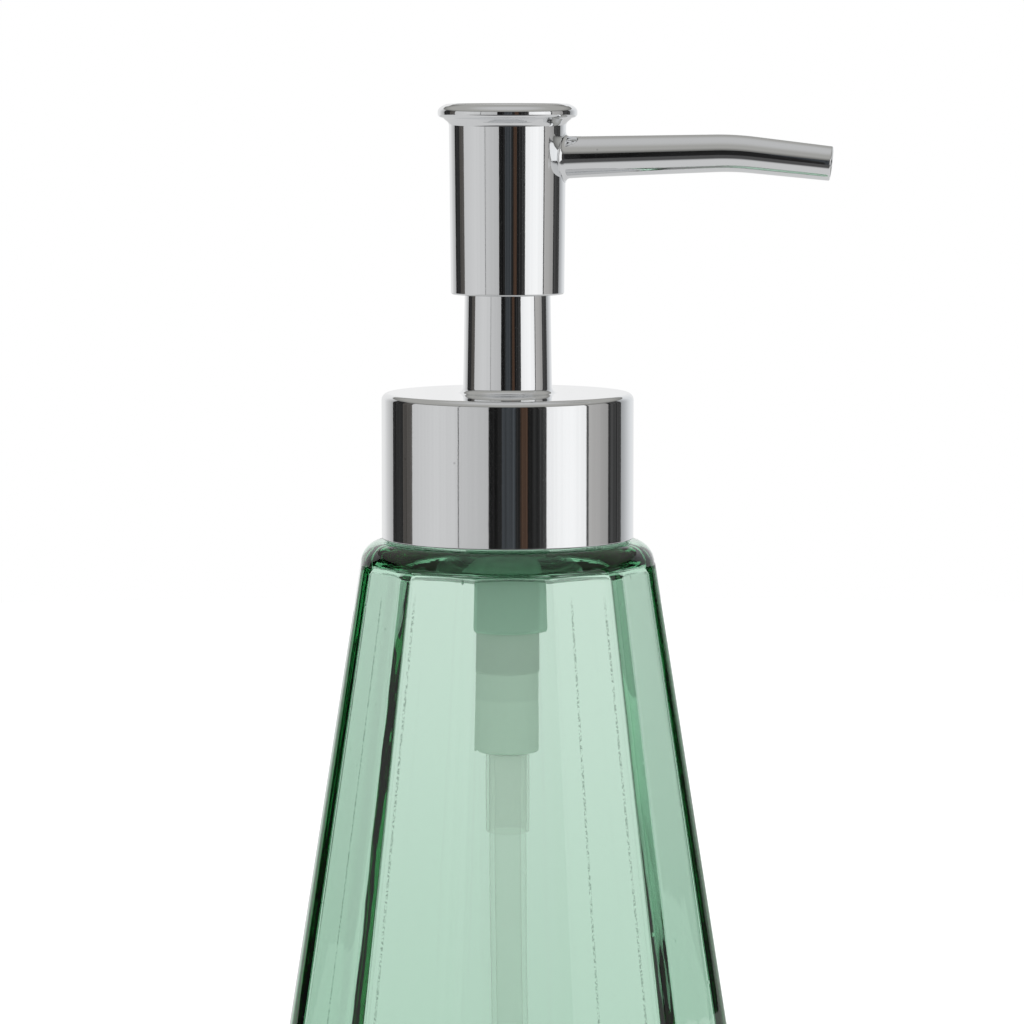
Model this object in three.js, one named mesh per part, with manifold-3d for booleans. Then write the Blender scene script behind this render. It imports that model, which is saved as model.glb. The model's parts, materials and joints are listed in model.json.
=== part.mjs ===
// Soap pump dispenser: a tapered twelve-sided glass bottle with a screw-on lotion pump.
// Millimetres, +Z up. The origin is the centre of the bottle's underside, on the pump's axis.
// The spout points along +X, turned a little to the front.

import * as THREE from 'three';
import * as BufferGeometryUtils from 'three/addons/utils/BufferGeometryUtils.js';
import Module from 'manifold-3d';

const wasm = await Module();
wasm.setup();

// ---- Driving dimensions ------------------------------------------------------------------

// clearances
const SEAT_GAP = 0.15; // between pieces that rest on or plug into each other
const RUNNING_GAP = 0.1; // between pieces that slide or turn on each other
const OPEN_GAP = 0.4; // between pieces that pass each other freely

// bottle
const BOTTLE_SIDES = 12;
const BASE_HALF_WIDTH = 38.2; // centre to flat at the underside, before the heel is rounded
const SHOULDER_HALF_WIDTH = 18.87; // centre to flat at the shoulder, before it is rounded
const BODY_HEIGHT = 124; // underside to the top of the shoulder
const HEEL_RADIUS = 3;
const SHOULDER_RADIUS = 3.1;
const SHOULDER_RING_RADIUS = 19.45; // of the round shoulder that the twelve flats run up to
const WALL_AT_BASE = 5;
const WALL_AT_SHOULDER = 1.8;
const SHOULDER_THICKNESS = 3; // glass above the cavity
const BASE_THICKNESS = 6;
const CAVITY_RADIUS = 4; // inside corner above the base
const THROAT_HEIGHT = 6; // from the full cavity to the shoulder's top
const NECK_LENGTH = 15.2; // shoulder to rim
const NECK_BORE_RADIUS = 10.4;
const NECK_WALL = 2.15; // between the bore and the bottom of the thread
const RIM_ROUND = 0.5;

// screw thread of the neck and the closure
const THREAD_PITCH = 4.233;
const THREAD_TURNS = 1.25;
const THREAD_HEIGHT = 1.1; // radially
const THREAD_ROOT = 2.2; // along the axis, where the thread meets its wall
const THREAD_CREST = 1.1; // along the axis, at its top
const THREAD_BELOW_RIM = 2.6; // rim to the middle of the thread's upper end
const THREAD_FADE = 0.35; // radians over which each end of the thread fades out
const THREAD_BURIED = 0.3; // how far the thread's root sits inside its wall

// closure
const INSERT_WALL = 1.8; // behind the thread
const INSERT_TOP_THICKNESS = 1.2;
const INSERT_BOTTOM_GAP = 1.6; // from the collar's lower edge up to the insert's
const SHELL_WALL = 0.6; // plated shells of collar and head
const COLLAR_ABOVE_SHOULDER = 0.3;
const COLLAR_EDGE_ROUND = 1.2;
const CHIMNEY_DRAFT = 0.25; // how much wider the chimney is at its foot
const CHIMNEY_OVERLAP = 2; // how far it reaches into the head at rest
const CHIMNEY_ROUND = 0.7; // fillet at its foot

// pump housing
const GASKET_THICKNESS = 0.9;
const FLANGE_THICKNESS = 1;
const FLANGE_INSET = 0.65; // flange's edge inside the neck's outside
const BARREL_BORE_RADIUS = 4.7;
const BARREL_WALL = 0.85;
const BARREL_FLOOR = 1;
const BARREL_SPARE = 0.7; // room under the plunger at the end of its stroke
const CHAMBER_BORE_RADIUS = 3.2; // the narrower part, which holds spring and ball
const CHAMBER_WALL = 0.85;
const CHAMBER_LENGTH = 16.1;
const CHAMBER_BAND = 5.4; // length of the stouter band at its top
const CHAMBER_BAND_EXTRA = 0.12;
const BALL_SEAT_THICKNESS = 1.2;
const BALL_SEAT_RADIUS = 1.3;
const SOCKET_WALL = 0.35; // round the dip tube
const SOCKET_LENGTH = 10.7;

// dip tube
const DIP_TUBE_RADIUS = 2.45;
const DIP_TUBE_WALL = 0.7;
const DIP_TUBE_END_GAP = 3; // above the bottle's inside floor
const DIP_TUBE_DRIFT = 1.3; // sideways at its lower end

// check valve
const BALL_RADIUS = 1.95;
const BALL_LIFT = 1.2;
const CAGE_TOP_THICKNESS = 0.9;
const CAGE_WALL = 0.75;

// plunger
const STROKE = 12;
const STEM_RADIUS = 3.4;
const STEM_WALL = 1.2;
const STEM_BELOW_CAP = 0.4; // stem's lower end under the housing cap
const CORE_DISC_INSET = 1.4; // disc's edge inside the barrel's bore
const CORE_DISC_THICKNESS = 1.5;
const CORE_PILOT_LENGTH = 3.5; // locates the spring
const CORE_SHANK_DEPTH = 6; // how far the core's shank reaches up into the stem
const CORE_FLAT = 0.6; // cut off one side of the shank, for the soap to pass
const PISTON_LAG = 0.8; // free travel of the piston on its core
const PISTON_LENGTH = 7;
const PISTON_WAIST = 0.7; // how far the piston is relieved between its two lips
const PISTON_LIP = 1.4;

// return spring
const SPRING_WIRE = 0.6;
const SPRING_TURNS = 9;
const SPRING_CLOSED_TURNS = 0.9; // at each end

// guide of the stem
const CAP_PLUG_LENGTH = 6;
const CAP_FLANGE_RADIUS = 7.2;
const GUIDE_WALL = 1.35;
const GUIDE_BELOW_CHIMNEY = 0.5;
const SEAL_HEIGHT = 1.6;
const SEAL_WIDTH = 0.75;

// press head
const HEAD_STOP_GAP = 1; // between head and collar at the end of the stroke
const HEAD_HEIGHT = 25;
const HEAD_DRAFT = 0.11; // how much wider its top is
const LIP_OVERHANG = 1.62; // beyond the top of the cylinder
const LIP_THICKNESS = 1.6;
const FLARE_HEIGHT = 3;
const DISH_DEPTH = 0.6; // hollow of the press face
const HEAD_TOP_WALL = 1.1;
const CORE_SLEEVE_WALL = 0.62;
const CORE_SLEEVE_GAP = 0.2; // round the chimney's foot
const CORE_SLEEVE_RECESS = 0.8; // sleeve's end above the head's lower edge
const CORE_TOP_WALL = 1.5; // above the stem

// spout
const SPOUT_HEADING = THREE.MathUtils.degToRad(-8.5);
const SPOUT_BELOW_TOP = 7.3; // its axis at the root, under the head's top
const SPOUT_REACH = 42.5; // from the pump's axis to the tip
const SPOUT_BEND_AT = 29.7; // where the straight runs would meet
const SPOUT_BEND_LENGTH = 5; // length over which it bends
const SPOUT_RISE = 0.6; // from root to bend
const SPOUT_FALL = 1.45; // from bend to tip
const SPOUT_ROOT_INSET = 2.3; // how far the tube enters the head
const SPOUT_ROOT_RADIUS = 2.65;
const SPOUT_TIP_RADIUS = 2.23;
const SPOUT_WALL = 0.45;
const LINER_WALL = 0.5;
const LINER_RECESS = 0.35; // liner's end inside the tip
const PORT_RADIUS = 1.35;

// facets
const COARSE = 16;
const SMALL = 20;
const MEDIUM = 28;
const LARGE = 36;
const ARC_STEPS = 3;

// ---- Levels, from the bottle's rim upwards, then down the pump ---------------------------

const rimZ = BODY_HEIGHT + NECK_LENGTH;
const gasketZ = rimZ + SEAT_GAP;
const flangeZ = gasketZ + GASKET_THICKNESS + SEAT_GAP;
const flangeTopZ = flangeZ + FLANGE_THICKNESS;
const insertUndersideZ = flangeTopZ + SEAT_GAP;
const insertTopZ = insertUndersideZ + INSERT_TOP_THICKNESS;
const collarTopZ = insertTopZ + SEAT_GAP + SHELL_WALL;
const collarBottomZ = BODY_HEIGHT + COLLAR_ABOVE_SHOULDER;
const headBottomZ = collarTopZ + STROKE + HEAD_STOP_GAP;
const headTopZ = headBottomZ + HEAD_HEIGHT;
const headCeilingZ = headTopZ - DISH_DEPTH - HEAD_TOP_WALL;
const chimneyTopZ = headBottomZ + CHIMNEY_OVERLAP;
const guideTopZ = chimneyTopZ - GUIDE_BELOW_CHIMNEY;
const coreTopZ = headCeilingZ - SEAT_GAP;
const coreBlockZ = chimneyTopZ + STROKE + OPEN_GAP;
const stemSeatZ = coreTopZ - CORE_TOP_WALL;
const spoutZ = headTopZ - SPOUT_BELOW_TOP;

const capPlugZ = flangeTopZ - CAP_PLUG_LENGTH;
const stemBottomZ = capPlugZ - STEM_BELOW_CAP;
const pistonTopZ = stemBottomZ - RUNNING_GAP - PISTON_LAG;
const pistonBottomZ = pistonTopZ - PISTON_LENGTH;
const discTopZ = pistonBottomZ - RUNNING_GAP;
const discBottomZ = discTopZ - CORE_DISC_THICKNESS;
const barrelFloorZ = discBottomZ - STROKE - BARREL_SPARE;
const barrelBottomZ = barrelFloorZ - BARREL_FLOOR;
const chamberBottomZ = barrelBottomZ - CHAMBER_LENGTH;
const socketBottomZ = chamberBottomZ - SOCKET_LENGTH;
const ballSeatTopZ = chamberBottomZ + BALL_SEAT_THICKNESS;
const ballAboveSeat = Math.sqrt(BALL_RADIUS ** 2 - BALL_SEAT_RADIUS ** 2) + RUNNING_GAP;
const ballCentreZ = ballSeatTopZ + ballAboveSeat;
const cageBottomZ = ballSeatTopZ + SEAT_GAP;
const cageBarZ = ballCentreZ + BALL_RADIUS + BALL_LIFT + RUNNING_GAP;
const cageTopZ = cageBarZ + CAGE_TOP_THICKNESS;
const springBottomZ = cageTopZ + SEAT_GAP;
const springTopZ = discBottomZ - SEAT_GAP;

// ---- Radii, from the pump's axis outwards ------------------------------------------------

const stemBoreRadius = STEM_RADIUS - STEM_WALL;
const guideBoreRadius = STEM_RADIUS + RUNNING_GAP; // of all that the stem runs or sits in
const guideRadius = guideBoreRadius + GUIDE_WALL;
const chimneyBoreRadius = guideRadius + SEAT_GAP;
const chimneyTopRadius = chimneyBoreRadius + SHELL_WALL;
const chimneyFootRadius = chimneyTopRadius + CHIMNEY_DRAFT;
const coreSleeveBoreRadius = chimneyFootRadius + CORE_SLEEVE_GAP;
const coreSleeveRadius = coreSleeveBoreRadius + CORE_SLEEVE_WALL;
const headBoreRadius = coreSleeveRadius + SEAT_GAP;
const headBottomRadius = headBoreRadius + SHELL_WALL;
const headTopRadius = headBottomRadius + HEAD_DRAFT;
const lipRadius = headTopRadius + LIP_OVERHANG;

const neckRadius = NECK_BORE_RADIUS + NECK_WALL;
const flangeRadius = neckRadius - FLANGE_INSET;
const threadCrestRadius = neckRadius + OPEN_GAP; // of the closure
const threadBoreRadius = neckRadius + THREAD_HEIGHT + OPEN_GAP; // of the closure
const insertRadius = threadBoreRadius + INSERT_WALL;
const collarBoreRadius = insertRadius + SEAT_GAP;
const collarRadius = collarBoreRadius + SHELL_WALL;

const barrelRadius = BARREL_BORE_RADIUS + BARREL_WALL;
const chamberRadius = CHAMBER_BORE_RADIUS + CHAMBER_WALL;
const chamberBandRadius = chamberRadius + CHAMBER_BAND_EXTRA;
const socketBoreRadius = DIP_TUBE_RADIUS + RUNNING_GAP / 2;
const socketRadius = socketBoreRadius + SOCKET_WALL;
const capPlugRadius = BARREL_BORE_RADIUS - SEAT_GAP;
const sealRadius = guideBoreRadius + SEAL_WIDTH;
const sealSeatRadius = sealRadius + RUNNING_GAP / 2;
const pistonRadius = BARREL_BORE_RADIUS - RUNNING_GAP;
const shankRadius = stemBoreRadius - RUNNING_GAP;
const pistonBoreRadius = shankRadius + RUNNING_GAP;
const cageRadius = CHAMBER_BORE_RADIUS - RUNNING_GAP;
const cageBoreRadius = cageRadius - CAGE_WALL;
const springRadius = CHAMBER_BORE_RADIUS - OPEN_GAP - SPRING_WIRE / 2;
const pilotRadius = springRadius - SPRING_WIRE / 2 - 2 * SEAT_GAP;
const spoutSocketRadius = SPOUT_ROOT_RADIUS + SEAT_GAP;
const spoutRootX = headTopRadius - SPOUT_ROOT_INSET;

const bodySlope = (BASE_HALF_WIDTH - SHOULDER_HALF_WIDTH) / BODY_HEIGHT;
const flatToCorner = 1 / Math.cos(Math.PI / BOTTLE_SIDES);

// ---- Materials ---------------------------------------------------------------------------

const material = (color, roughness, metalness) =>
  new THREE.MeshStandardMaterial({ color, roughness, metalness });

const greenGlass = () => material(0x9fd3b4, 0.05, 0);
const chrome = () => material(0xd9dadb, 0.06, 1);
const clearPlastic = () => material(0xdfe9e2, 0.35, 0);
const whitePlastic = () => material(0xf0f0ee, 0.45, 0);
const softPlastic = () => material(0xe6e8e4, 0.6, 0);
const steel = () => material(0xb9bcc0, 0.25, 1);

// ---- Shape helpers -----------------------------------------------------------------------

const point = (x, y) => new THREE.Vector2(x, y);

// Quarter arc about (x, y), from angle a to angle b in quarter turns.
function arc(x, y, radius, a, b, steps = ARC_STEPS) {
  const points = [];
  for (let i = 0; i <= steps; i++) {
    const angle = THREE.MathUtils.lerp(a, b, i / steps) * (Math.PI / 2);
    points.push(point(x + radius * Math.cos(angle), y + radius * Math.sin(angle)));
  }
  return points;
}

// A turned shape about Z from [radius, z] points. A profile that doesn't touch the axis closes on itself.
function turned(profile, sides, phase = 0) {
  const points = profile.map((p) => (p.isVector2 ? p : point(p[0], p[1])));
  const ends = [points[0], points[points.length - 1]];
  if (ends.some((p) => p.x > 0)) points.push(points[0].clone());
  const geometry = new THREE.LatheGeometry(points, sides, phase);
  return outward(geometry.rotateX(Math.PI / 2));
}

// A plain ring or tube about Z.
const tube = (outer, inner, bottom, top, sides) =>
  turned([[inner, bottom], [outer, bottom], [outer, top], [inner, top]], sides);

// A plain rod about Z.
const rod = (radius, bottom, top, sides) =>
  turned([[0, bottom], [radius, bottom], [radius, top], [0, top]], sides);

// Position-only geometry with merged points and its faces pointing out.
function outward(geometry) {
  geometry.deleteAttribute('normal');
  geometry.deleteAttribute('uv');
  const merged = BufferGeometryUtils.mergeVertices(geometry, 1e-4);
  const index = Array.from(merged.index.array);
  const kept = [];
  for (let i = 0; i < index.length; i += 3) {
    const [a, b, c] = index.slice(i, i + 3);
    if (a !== b && b !== c && a !== c) kept.push(a, b, c);
  }
  merged.setIndex(kept);
  if (signedVolume(merged) < 0) {
    for (let i = 0; i < kept.length; i += 3) [kept[i], kept[i + 1]] = [kept[i + 1], kept[i]];
    merged.setIndex(kept);
  }
  return merged;
}

function signedVolume(geometry) {
  const position = geometry.attributes.position;
  const corner = (i) => new THREE.Vector3().fromBufferAttribute(position, geometry.index.getX(i));
  let sum = 0;
  for (let i = 0; i < geometry.index.count; i += 3) {
    sum += corner(i).dot(corner(i + 1).cross(corner(i + 2)));
  }
  return sum / 6;
}

function solid(geometry) {
  const vertProperties = new Float32Array(geometry.attributes.position.array);
  const triVerts = new Uint32Array(geometry.index.array);
  return new wasm.Manifold(new wasm.Mesh({ numProp: 3, vertProperties, triVerts }));
}

function geometryOf(body) {
  const mesh = body.getMesh();
  const geometry = new THREE.BufferGeometry();
  geometry.setAttribute('position', new THREE.BufferAttribute(mesh.vertProperties, 3));
  geometry.setIndex(Array.from(mesh.triVerts));
  return geometry;
}

// Joins the first geometry with those in add, then cuts those in cut away from it.
function shaped(first, add = [], cut = []) {
  let body = solid(first);
  for (const geometry of add) body = body.add(solid(geometry));
  for (const geometry of cut) body = body.subtract(solid(geometry));
  return geometryOf(body);
}

function block(width, depth, bottom, top) {
  const box = new THREE.BoxGeometry(width, depth, top - bottom);
  return outward(box.translate(0, 0, (bottom + top) / 2));
}

// Lays a turned shape, whose Z is a length, along a path: its rings stand square to the path.
function alongPath(geometry, placeAt) {
  const position = geometry.attributes.position;
  for (let i = 0; i < position.count; i++) {
    const { centre, side, up } = placeAt(position.getZ(i));
    const x = position.getX(i);
    const y = position.getY(i);
    const placed = centre.clone().addScaledVector(side, x).addScaledVector(up, y);
    position.setXYZ(i, placed.x, placed.y, placed.z);
  }
  return outward(geometry);
}

// A helical ridge on a wall of the given radius. It stands out by height, or inwards if that is
// negative, and fades into the wall at both ends.
function helicalRidge(wallRadius, height, startZ) {
  const outline = new THREE.Shape([
    point(-THREAD_ROOT / 2, 0),
    point(THREAD_ROOT / 2, 0),
    point(THREAD_CREST / 2, 1),
    point(-THREAD_CREST / 2, 1),
  ]);
  const sweep = THREAD_TURNS * 2 * Math.PI;
  const steps = Math.round(THREAD_TURNS * LARGE);
  const ridge = new THREE.ExtrudeGeometry(outline, { depth: sweep, steps, bevelEnabled: false });
  const buried = -Math.sign(height) * THREAD_BURIED;
  const position = ridge.attributes.position;
  for (let i = 0; i < position.count; i++) {
    const angle = position.getZ(i);
    const fade = Math.min(1, angle / THREAD_FADE, (sweep - angle) / THREAD_FADE);
    const crest = position.getY(i) > 0.5;
    const radius = wallRadius + (crest ? fade * height + (1 - fade) * buried / 2 : buried);
    const z = startZ + position.getX(i) + (THREAD_PITCH * angle) / (2 * Math.PI);
    position.setXYZ(i, radius * Math.cos(angle), radius * Math.sin(angle), z);
  }
  return outward(ridge);
}

// ---- Bottle ------------------------------------------------------------------------------

// Centre to flat of the body's outside at height z.
const bodyHalfWidth = (z) => BASE_HALF_WIDTH - bodySlope * z;

// Distance from centre to the flats, turned into the distance to the corners.
const toCorners = (points) =>
  points.map((p) => (p.isVector2 ? p : point(p[0], p[1])))
    .map((p) => point(p.x * flatToCorner, p.y));

const cornerPhase = Math.PI / BOTTLE_SIDES;

function bottleOutside() {
  const heelX = bodyHalfWidth(HEEL_RADIUS) - HEEL_RADIUS;
  const body = turned(toCorners([
    [0, 0],
    ...arc(heelX, HEEL_RADIUS, HEEL_RADIUS, -1, 0),
    [SHOULDER_HALF_WIDTH, BODY_HEIGHT],
    [0, BODY_HEIGHT],
  ]), BOTTLE_SIDES, cornerPhase);
  const footZ = BODY_HEIGHT - SHOULDER_THICKNESS;
  const neck = turned([
    [0, footZ],
    [neckRadius, footZ],
    ...arc(neckRadius - RIM_ROUND, rimZ - RIM_ROUND, RIM_ROUND, 0, 1),
    [0, rimZ],
  ], LARGE);
  return [body, neck];
}

// The space around the round shoulder. Cut away from the body, it rounds the body's top and
// bevels the ends of its corners.
function shoulderTrim() {
  const filletX = SHOULDER_RING_RADIUS - SHOULDER_RADIUS;
  const filletZ = BODY_HEIGHT - SHOULDER_RADIUS;
  const reach = 2 * SHOULDER_RADIUS;
  return turned([
    [filletX, BODY_HEIGHT + OPEN_GAP],
    ...arc(filletX, filletZ, SHOULDER_RADIUS, 1, 0, ARC_STEPS + 1),
    [SHOULDER_RING_RADIUS + reach, filletZ - reach],
    [SHOULDER_RING_RADIUS + reach, BODY_HEIGHT + OPEN_GAP],
  ], LARGE);
}

function bottleInside() {
  const throatZ = BODY_HEIGHT - THROAT_HEIGHT;
  const wall = (z) => THREE.MathUtils.lerp(WALL_AT_BASE, WALL_AT_SHOULDER, z / BODY_HEIGHT);
  const halfWidth = (z) => bodyHalfWidth(z) - wall(z) * Math.hypot(1, bodySlope);
  const floorZ = BASE_THICKNESS + CAVITY_RADIUS;
  const cavity = turned(toCorners([
    [0, BASE_THICKNESS],
    ...arc(halfWidth(floorZ) - CAVITY_RADIUS, floorZ, CAVITY_RADIUS, -1, 0),
    [halfWidth(throatZ), throatZ],
    [NECK_BORE_RADIUS / 2, BODY_HEIGHT - SHOULDER_THICKNESS],
    [0, BODY_HEIGHT - SHOULDER_THICKNESS],
  ]), BOTTLE_SIDES, cornerPhase);
  const bore = rod(NECK_BORE_RADIUS, throatZ, rimZ + OPEN_GAP, LARGE);
  return [cavity, bore];
}

function bottle() {
  const [faceted, neck] = bottleOutside();
  const body = shaped(faceted, [], [shoulderTrim()]);
  const ridgeDrop = THREAD_BELOW_RIM + THREAD_PITCH * THREAD_TURNS;
  const ridge = helicalRidge(neckRadius, THREAD_HEIGHT, rimZ - ridgeDrop);
  return shaped(body, [neck, ridge], bottleInside());
}

// ---- Closure -----------------------------------------------------------------------------

function collarShell() {
  const ceilingZ = collarTopZ - SHELL_WALL;
  const edge = arc(
    collarRadius - COLLAR_EDGE_ROUND, collarTopZ - COLLAR_EDGE_ROUND, COLLAR_EDGE_ROUND, 0, 1);
  const footX = chimneyFootRadius + CHIMNEY_ROUND;
  const foot = arc(footX, collarTopZ + CHIMNEY_ROUND, CHIMNEY_ROUND, 3, 2);
  return turned([
    [collarBoreRadius, collarBottomZ],
    [collarRadius, collarBottomZ],
    ...edge,
    ...foot,
    [chimneyTopRadius, chimneyTopZ],
    [chimneyBoreRadius, chimneyTopZ],
    [chimneyBoreRadius, ceilingZ],
    [collarBoreRadius, ceilingZ],
  ], LARGE);
}

function closureInsert() {
  const bottomZ = collarBottomZ + INSERT_BOTTOM_GAP;
  const holeRadius = CAP_FLANGE_RADIUS + SEAT_GAP;
  const cup = turned([
    [threadBoreRadius, bottomZ],
    [insertRadius, bottomZ],
    [insertRadius, insertTopZ - COLLAR_EDGE_ROUND],
    [insertRadius - COLLAR_EDGE_ROUND, insertTopZ],
    [holeRadius, insertTopZ],
    [holeRadius, insertUndersideZ],
    [threadBoreRadius, insertUndersideZ],
  ], LARGE);
  const ridgeDrop = THREAD_BELOW_RIM + THREAD_PITCH * (THREAD_TURNS + 0.5);
  const ridgeHeight = threadCrestRadius - threadBoreRadius;
  return shaped(cup, [helicalRidge(threadBoreRadius, ridgeHeight, rimZ - ridgeDrop)]);
}

function neckGasket() {
  const bore = NECK_BORE_RADIUS - OPEN_GAP;
  return tube(neckRadius - SEAT_GAP, bore, gasketZ, gasketZ + GASKET_THICKNESS, LARGE);
}

// ---- Pump housing and what is fixed in it ------------------------------------------------

function pumpHousing() {
  const bandZ = barrelBottomZ - CHAMBER_BAND;
  return turned([
    [socketBoreRadius, socketBottomZ],
    [socketRadius, socketBottomZ],
    [socketRadius, chamberBottomZ],
    [chamberRadius, chamberBottomZ],
    [chamberRadius, bandZ],
    [chamberBandRadius, bandZ],
    [chamberBandRadius, barrelBottomZ],
    ...arc(barrelRadius - BARREL_FLOOR, barrelFloorZ, BARREL_FLOOR, -1, 0, 2),
    [barrelRadius, flangeZ],
    [flangeRadius, flangeZ],
    [flangeRadius, flangeTopZ],
    [BARREL_BORE_RADIUS, flangeTopZ],
    [BARREL_BORE_RADIUS, barrelFloorZ],
    [CHAMBER_BORE_RADIUS, barrelFloorZ],
    [CHAMBER_BORE_RADIUS, ballSeatTopZ],
    [BALL_SEAT_RADIUS, ballSeatTopZ],
    [BALL_SEAT_RADIUS, chamberBottomZ],
    [socketBoreRadius, chamberBottomZ],
  ], MEDIUM);
}

function housingCap() {
  const sealSeatZ = capPlugZ + SEAL_HEIGHT + SEAT_GAP;
  return turned([
    [sealSeatRadius, capPlugZ],
    [capPlugRadius, capPlugZ],
    [capPlugRadius, insertUndersideZ],
    [CAP_FLANGE_RADIUS, insertUndersideZ],
    [CAP_FLANGE_RADIUS, insertTopZ],
    [guideRadius, insertTopZ],
    [guideRadius, guideTopZ],
    [guideBoreRadius, guideTopZ],
    [guideBoreRadius, sealSeatZ],
    [sealSeatRadius, sealSeatZ],
  ], MEDIUM);
}

// The seal touches the stem at its upper edge only.
function stemSeal() {
  const relief = guideBoreRadius + RUNNING_GAP;
  return turned([
    [relief, capPlugZ],
    [sealRadius, capPlugZ],
    [sealRadius, capPlugZ + SEAL_HEIGHT],
    [guideBoreRadius, capPlugZ + SEAL_HEIGHT],
    [relief, capPlugZ + SEAL_HEIGHT / 2],
  ], MEDIUM);
}

function ballCage() {
  const ring = tube(cageRadius, cageBoreRadius, cageBottomZ, cageTopZ, SMALL);
  const length = 2 * cageBoreRadius + CAGE_WALL;
  const bars = [
    block(length, CAGE_WALL, cageBarZ, cageTopZ),
    block(CAGE_WALL, length, cageBarZ, cageTopZ),
  ];
  return shaped(ring, bars);
}

function inletBall() {
  const ball = new THREE.SphereGeometry(BALL_RADIUS, COARSE, COARSE / 2);
  return outward(ball.rotateX(Math.PI / 2).translate(0, 0, ballCentreZ));
}

// The tube runs straight down from its socket and then drifts to one side.
function dipTube() {
  const topZ = chamberBottomZ - SEAT_GAP;
  const bottomZ = BASE_THICKNESS + DIP_TUBE_END_GAP;
  const bore = DIP_TUBE_RADIUS - DIP_TUBE_WALL;
  const rings = 6;
  const levels = Array.from({ length: rings + 1 }, (_, i) =>
    THREE.MathUtils.lerp(bottomZ, socketBottomZ, i / rings));
  levels.push(topZ);
  const outside = levels.map((z) => [DIP_TUBE_RADIUS, z]);
  const inside = levels.map((z) => [bore, z]).reverse();
  const straight = turned([...outside, ...inside], COARSE);
  const position = straight.attributes.position;
  for (let i = 0; i < position.count; i++) {
    const below = Math.max(0, socketBottomZ - position.getZ(i)) / (socketBottomZ - bottomZ);
    position.setX(i, position.getX(i) + DIP_TUBE_DRIFT * below ** 2 * (2 - below));
  }
  return straight;
}

function returnSpring() {
  const wire = SPRING_WIRE / 2;
  const length = springTopZ - springBottomZ - SPRING_WIRE;
  const stepsPerTurn = 12;
  const turns = SPRING_TURNS + 2 * SPRING_CLOSED_TURNS;
  const steps = Math.round(turns * stepsPerTurn);
  const closedRise = SPRING_CLOSED_TURNS * (SPRING_WIRE + RUNNING_GAP);
  const levelAt = (turn) => {
    if (turn < SPRING_CLOSED_TURNS) return (turn / SPRING_CLOSED_TURNS) * closedRise;
    if (turn > turns - SPRING_CLOSED_TURNS) {
      return length - ((turns - turn) / SPRING_CLOSED_TURNS) * closedRise;
    }
    const open = (turn - SPRING_CLOSED_TURNS) / SPRING_TURNS;
    return closedRise + open * (length - 2 * closedRise);
  };
  const rings = Array.from({ length: steps + 1 }, (_, i) => [wire, i]);
  const straight = turned([[0, 0], ...rings, [0, steps]], 6);
  return alongPath(straight, (ring) => {
    const turn = Math.min(turns, ring / stepsPerTurn);
    const angle = turn * 2 * Math.PI;
    const radial = new THREE.Vector3(Math.cos(angle), Math.sin(angle), 0);
    const centre = radial.clone().multiplyScalar(springRadius);
    centre.z = springBottomZ + wire + levelAt(turn);
    return { centre, side: radial, up: new THREE.Vector3(0, 0, 1) };
  });
}

// ---- Plunger -----------------------------------------------------------------------------

// A rod that lies along the spout's heading, from the pump's axis outwards.
function headingRod(radius, reach) {
  const lying = rod(radius, 0, reach, COARSE).rotateY(Math.PI / 2);
  return lying.rotateZ(SPOUT_HEADING).translate(0, 0, spoutZ);
}

function stem() {
  const pipe = tube(STEM_RADIUS, stemBoreRadius, stemBottomZ, stemSeatZ - SEAT_GAP, MEDIUM);
  return shaped(pipe, [], [headingRod(PORT_RADIUS, STEM_RADIUS + OPEN_GAP)]);
}

function piston() {
  const waist = pistonRadius - PISTON_WAIST;
  return turned([
    [pistonBoreRadius, pistonBottomZ],
    [pistonRadius, pistonBottomZ],
    [pistonRadius, pistonBottomZ + PISTON_LIP],
    [waist, pistonBottomZ + PISTON_LIP + PISTON_WAIST],
    [waist, pistonTopZ - PISTON_LIP - PISTON_WAIST],
    [pistonRadius, pistonTopZ - PISTON_LIP],
    [pistonRadius, pistonTopZ],
    [pistonBoreRadius, pistonTopZ],
  ], MEDIUM);
}

function pistonCore() {
  const shankTopZ = stemBottomZ + CORE_SHANK_DEPTH;
  const discRadius = BARREL_BORE_RADIUS - CORE_DISC_INSET;
  const body = turned([
    [0, discBottomZ - CORE_PILOT_LENGTH],
    [pilotRadius, discBottomZ - CORE_PILOT_LENGTH],
    [pilotRadius, discBottomZ],
    [discRadius, discBottomZ],
    [discRadius, discTopZ],
    [shankRadius, discTopZ],
    [shankRadius, shankTopZ],
    [0, shankTopZ],
  ], MEDIUM);
  const cutter = block(2 * CORE_FLAT, 2 * STEM_RADIUS, pistonBottomZ, shankTopZ + OPEN_GAP);
  return shaped(body, [], [cutter.translate(shankRadius, 0, 0)]);
}

// ---- Head and spout ----------------------------------------------------------------------

function headShell() {
  const lipX = lipRadius - LIP_THICKNESS / 2;
  const lipZ = headTopZ - LIP_THICKNESS / 2;
  const flareFootZ = lipZ - LIP_THICKNESS / 2 - FLARE_HEIGHT;
  const flare = [];
  for (let i = 0; i <= ARC_STEPS; i++) {
    const t = i / (ARC_STEPS + 1);
    const x = THREE.MathUtils.lerp(headTopRadius, lipX, t * t);
    flare.push([x, flareFootZ + FLARE_HEIGHT * t]);
  }
  const body = turned([
    [headBoreRadius, headBottomZ],
    [headBottomRadius, headBottomZ],
    ...flare,
    ...arc(lipX, lipZ, LIP_THICKNESS / 2, -1, 1, 2 * ARC_STEPS),
    [headTopRadius, headTopZ - DISH_DEPTH],
    [0, headTopZ - DISH_DEPTH],
    [0, headCeilingZ],
    [headBoreRadius, headCeilingZ],
  ], LARGE);
  return shaped(body, [], [headingRod(spoutSocketRadius, lipRadius)]);
}

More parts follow.
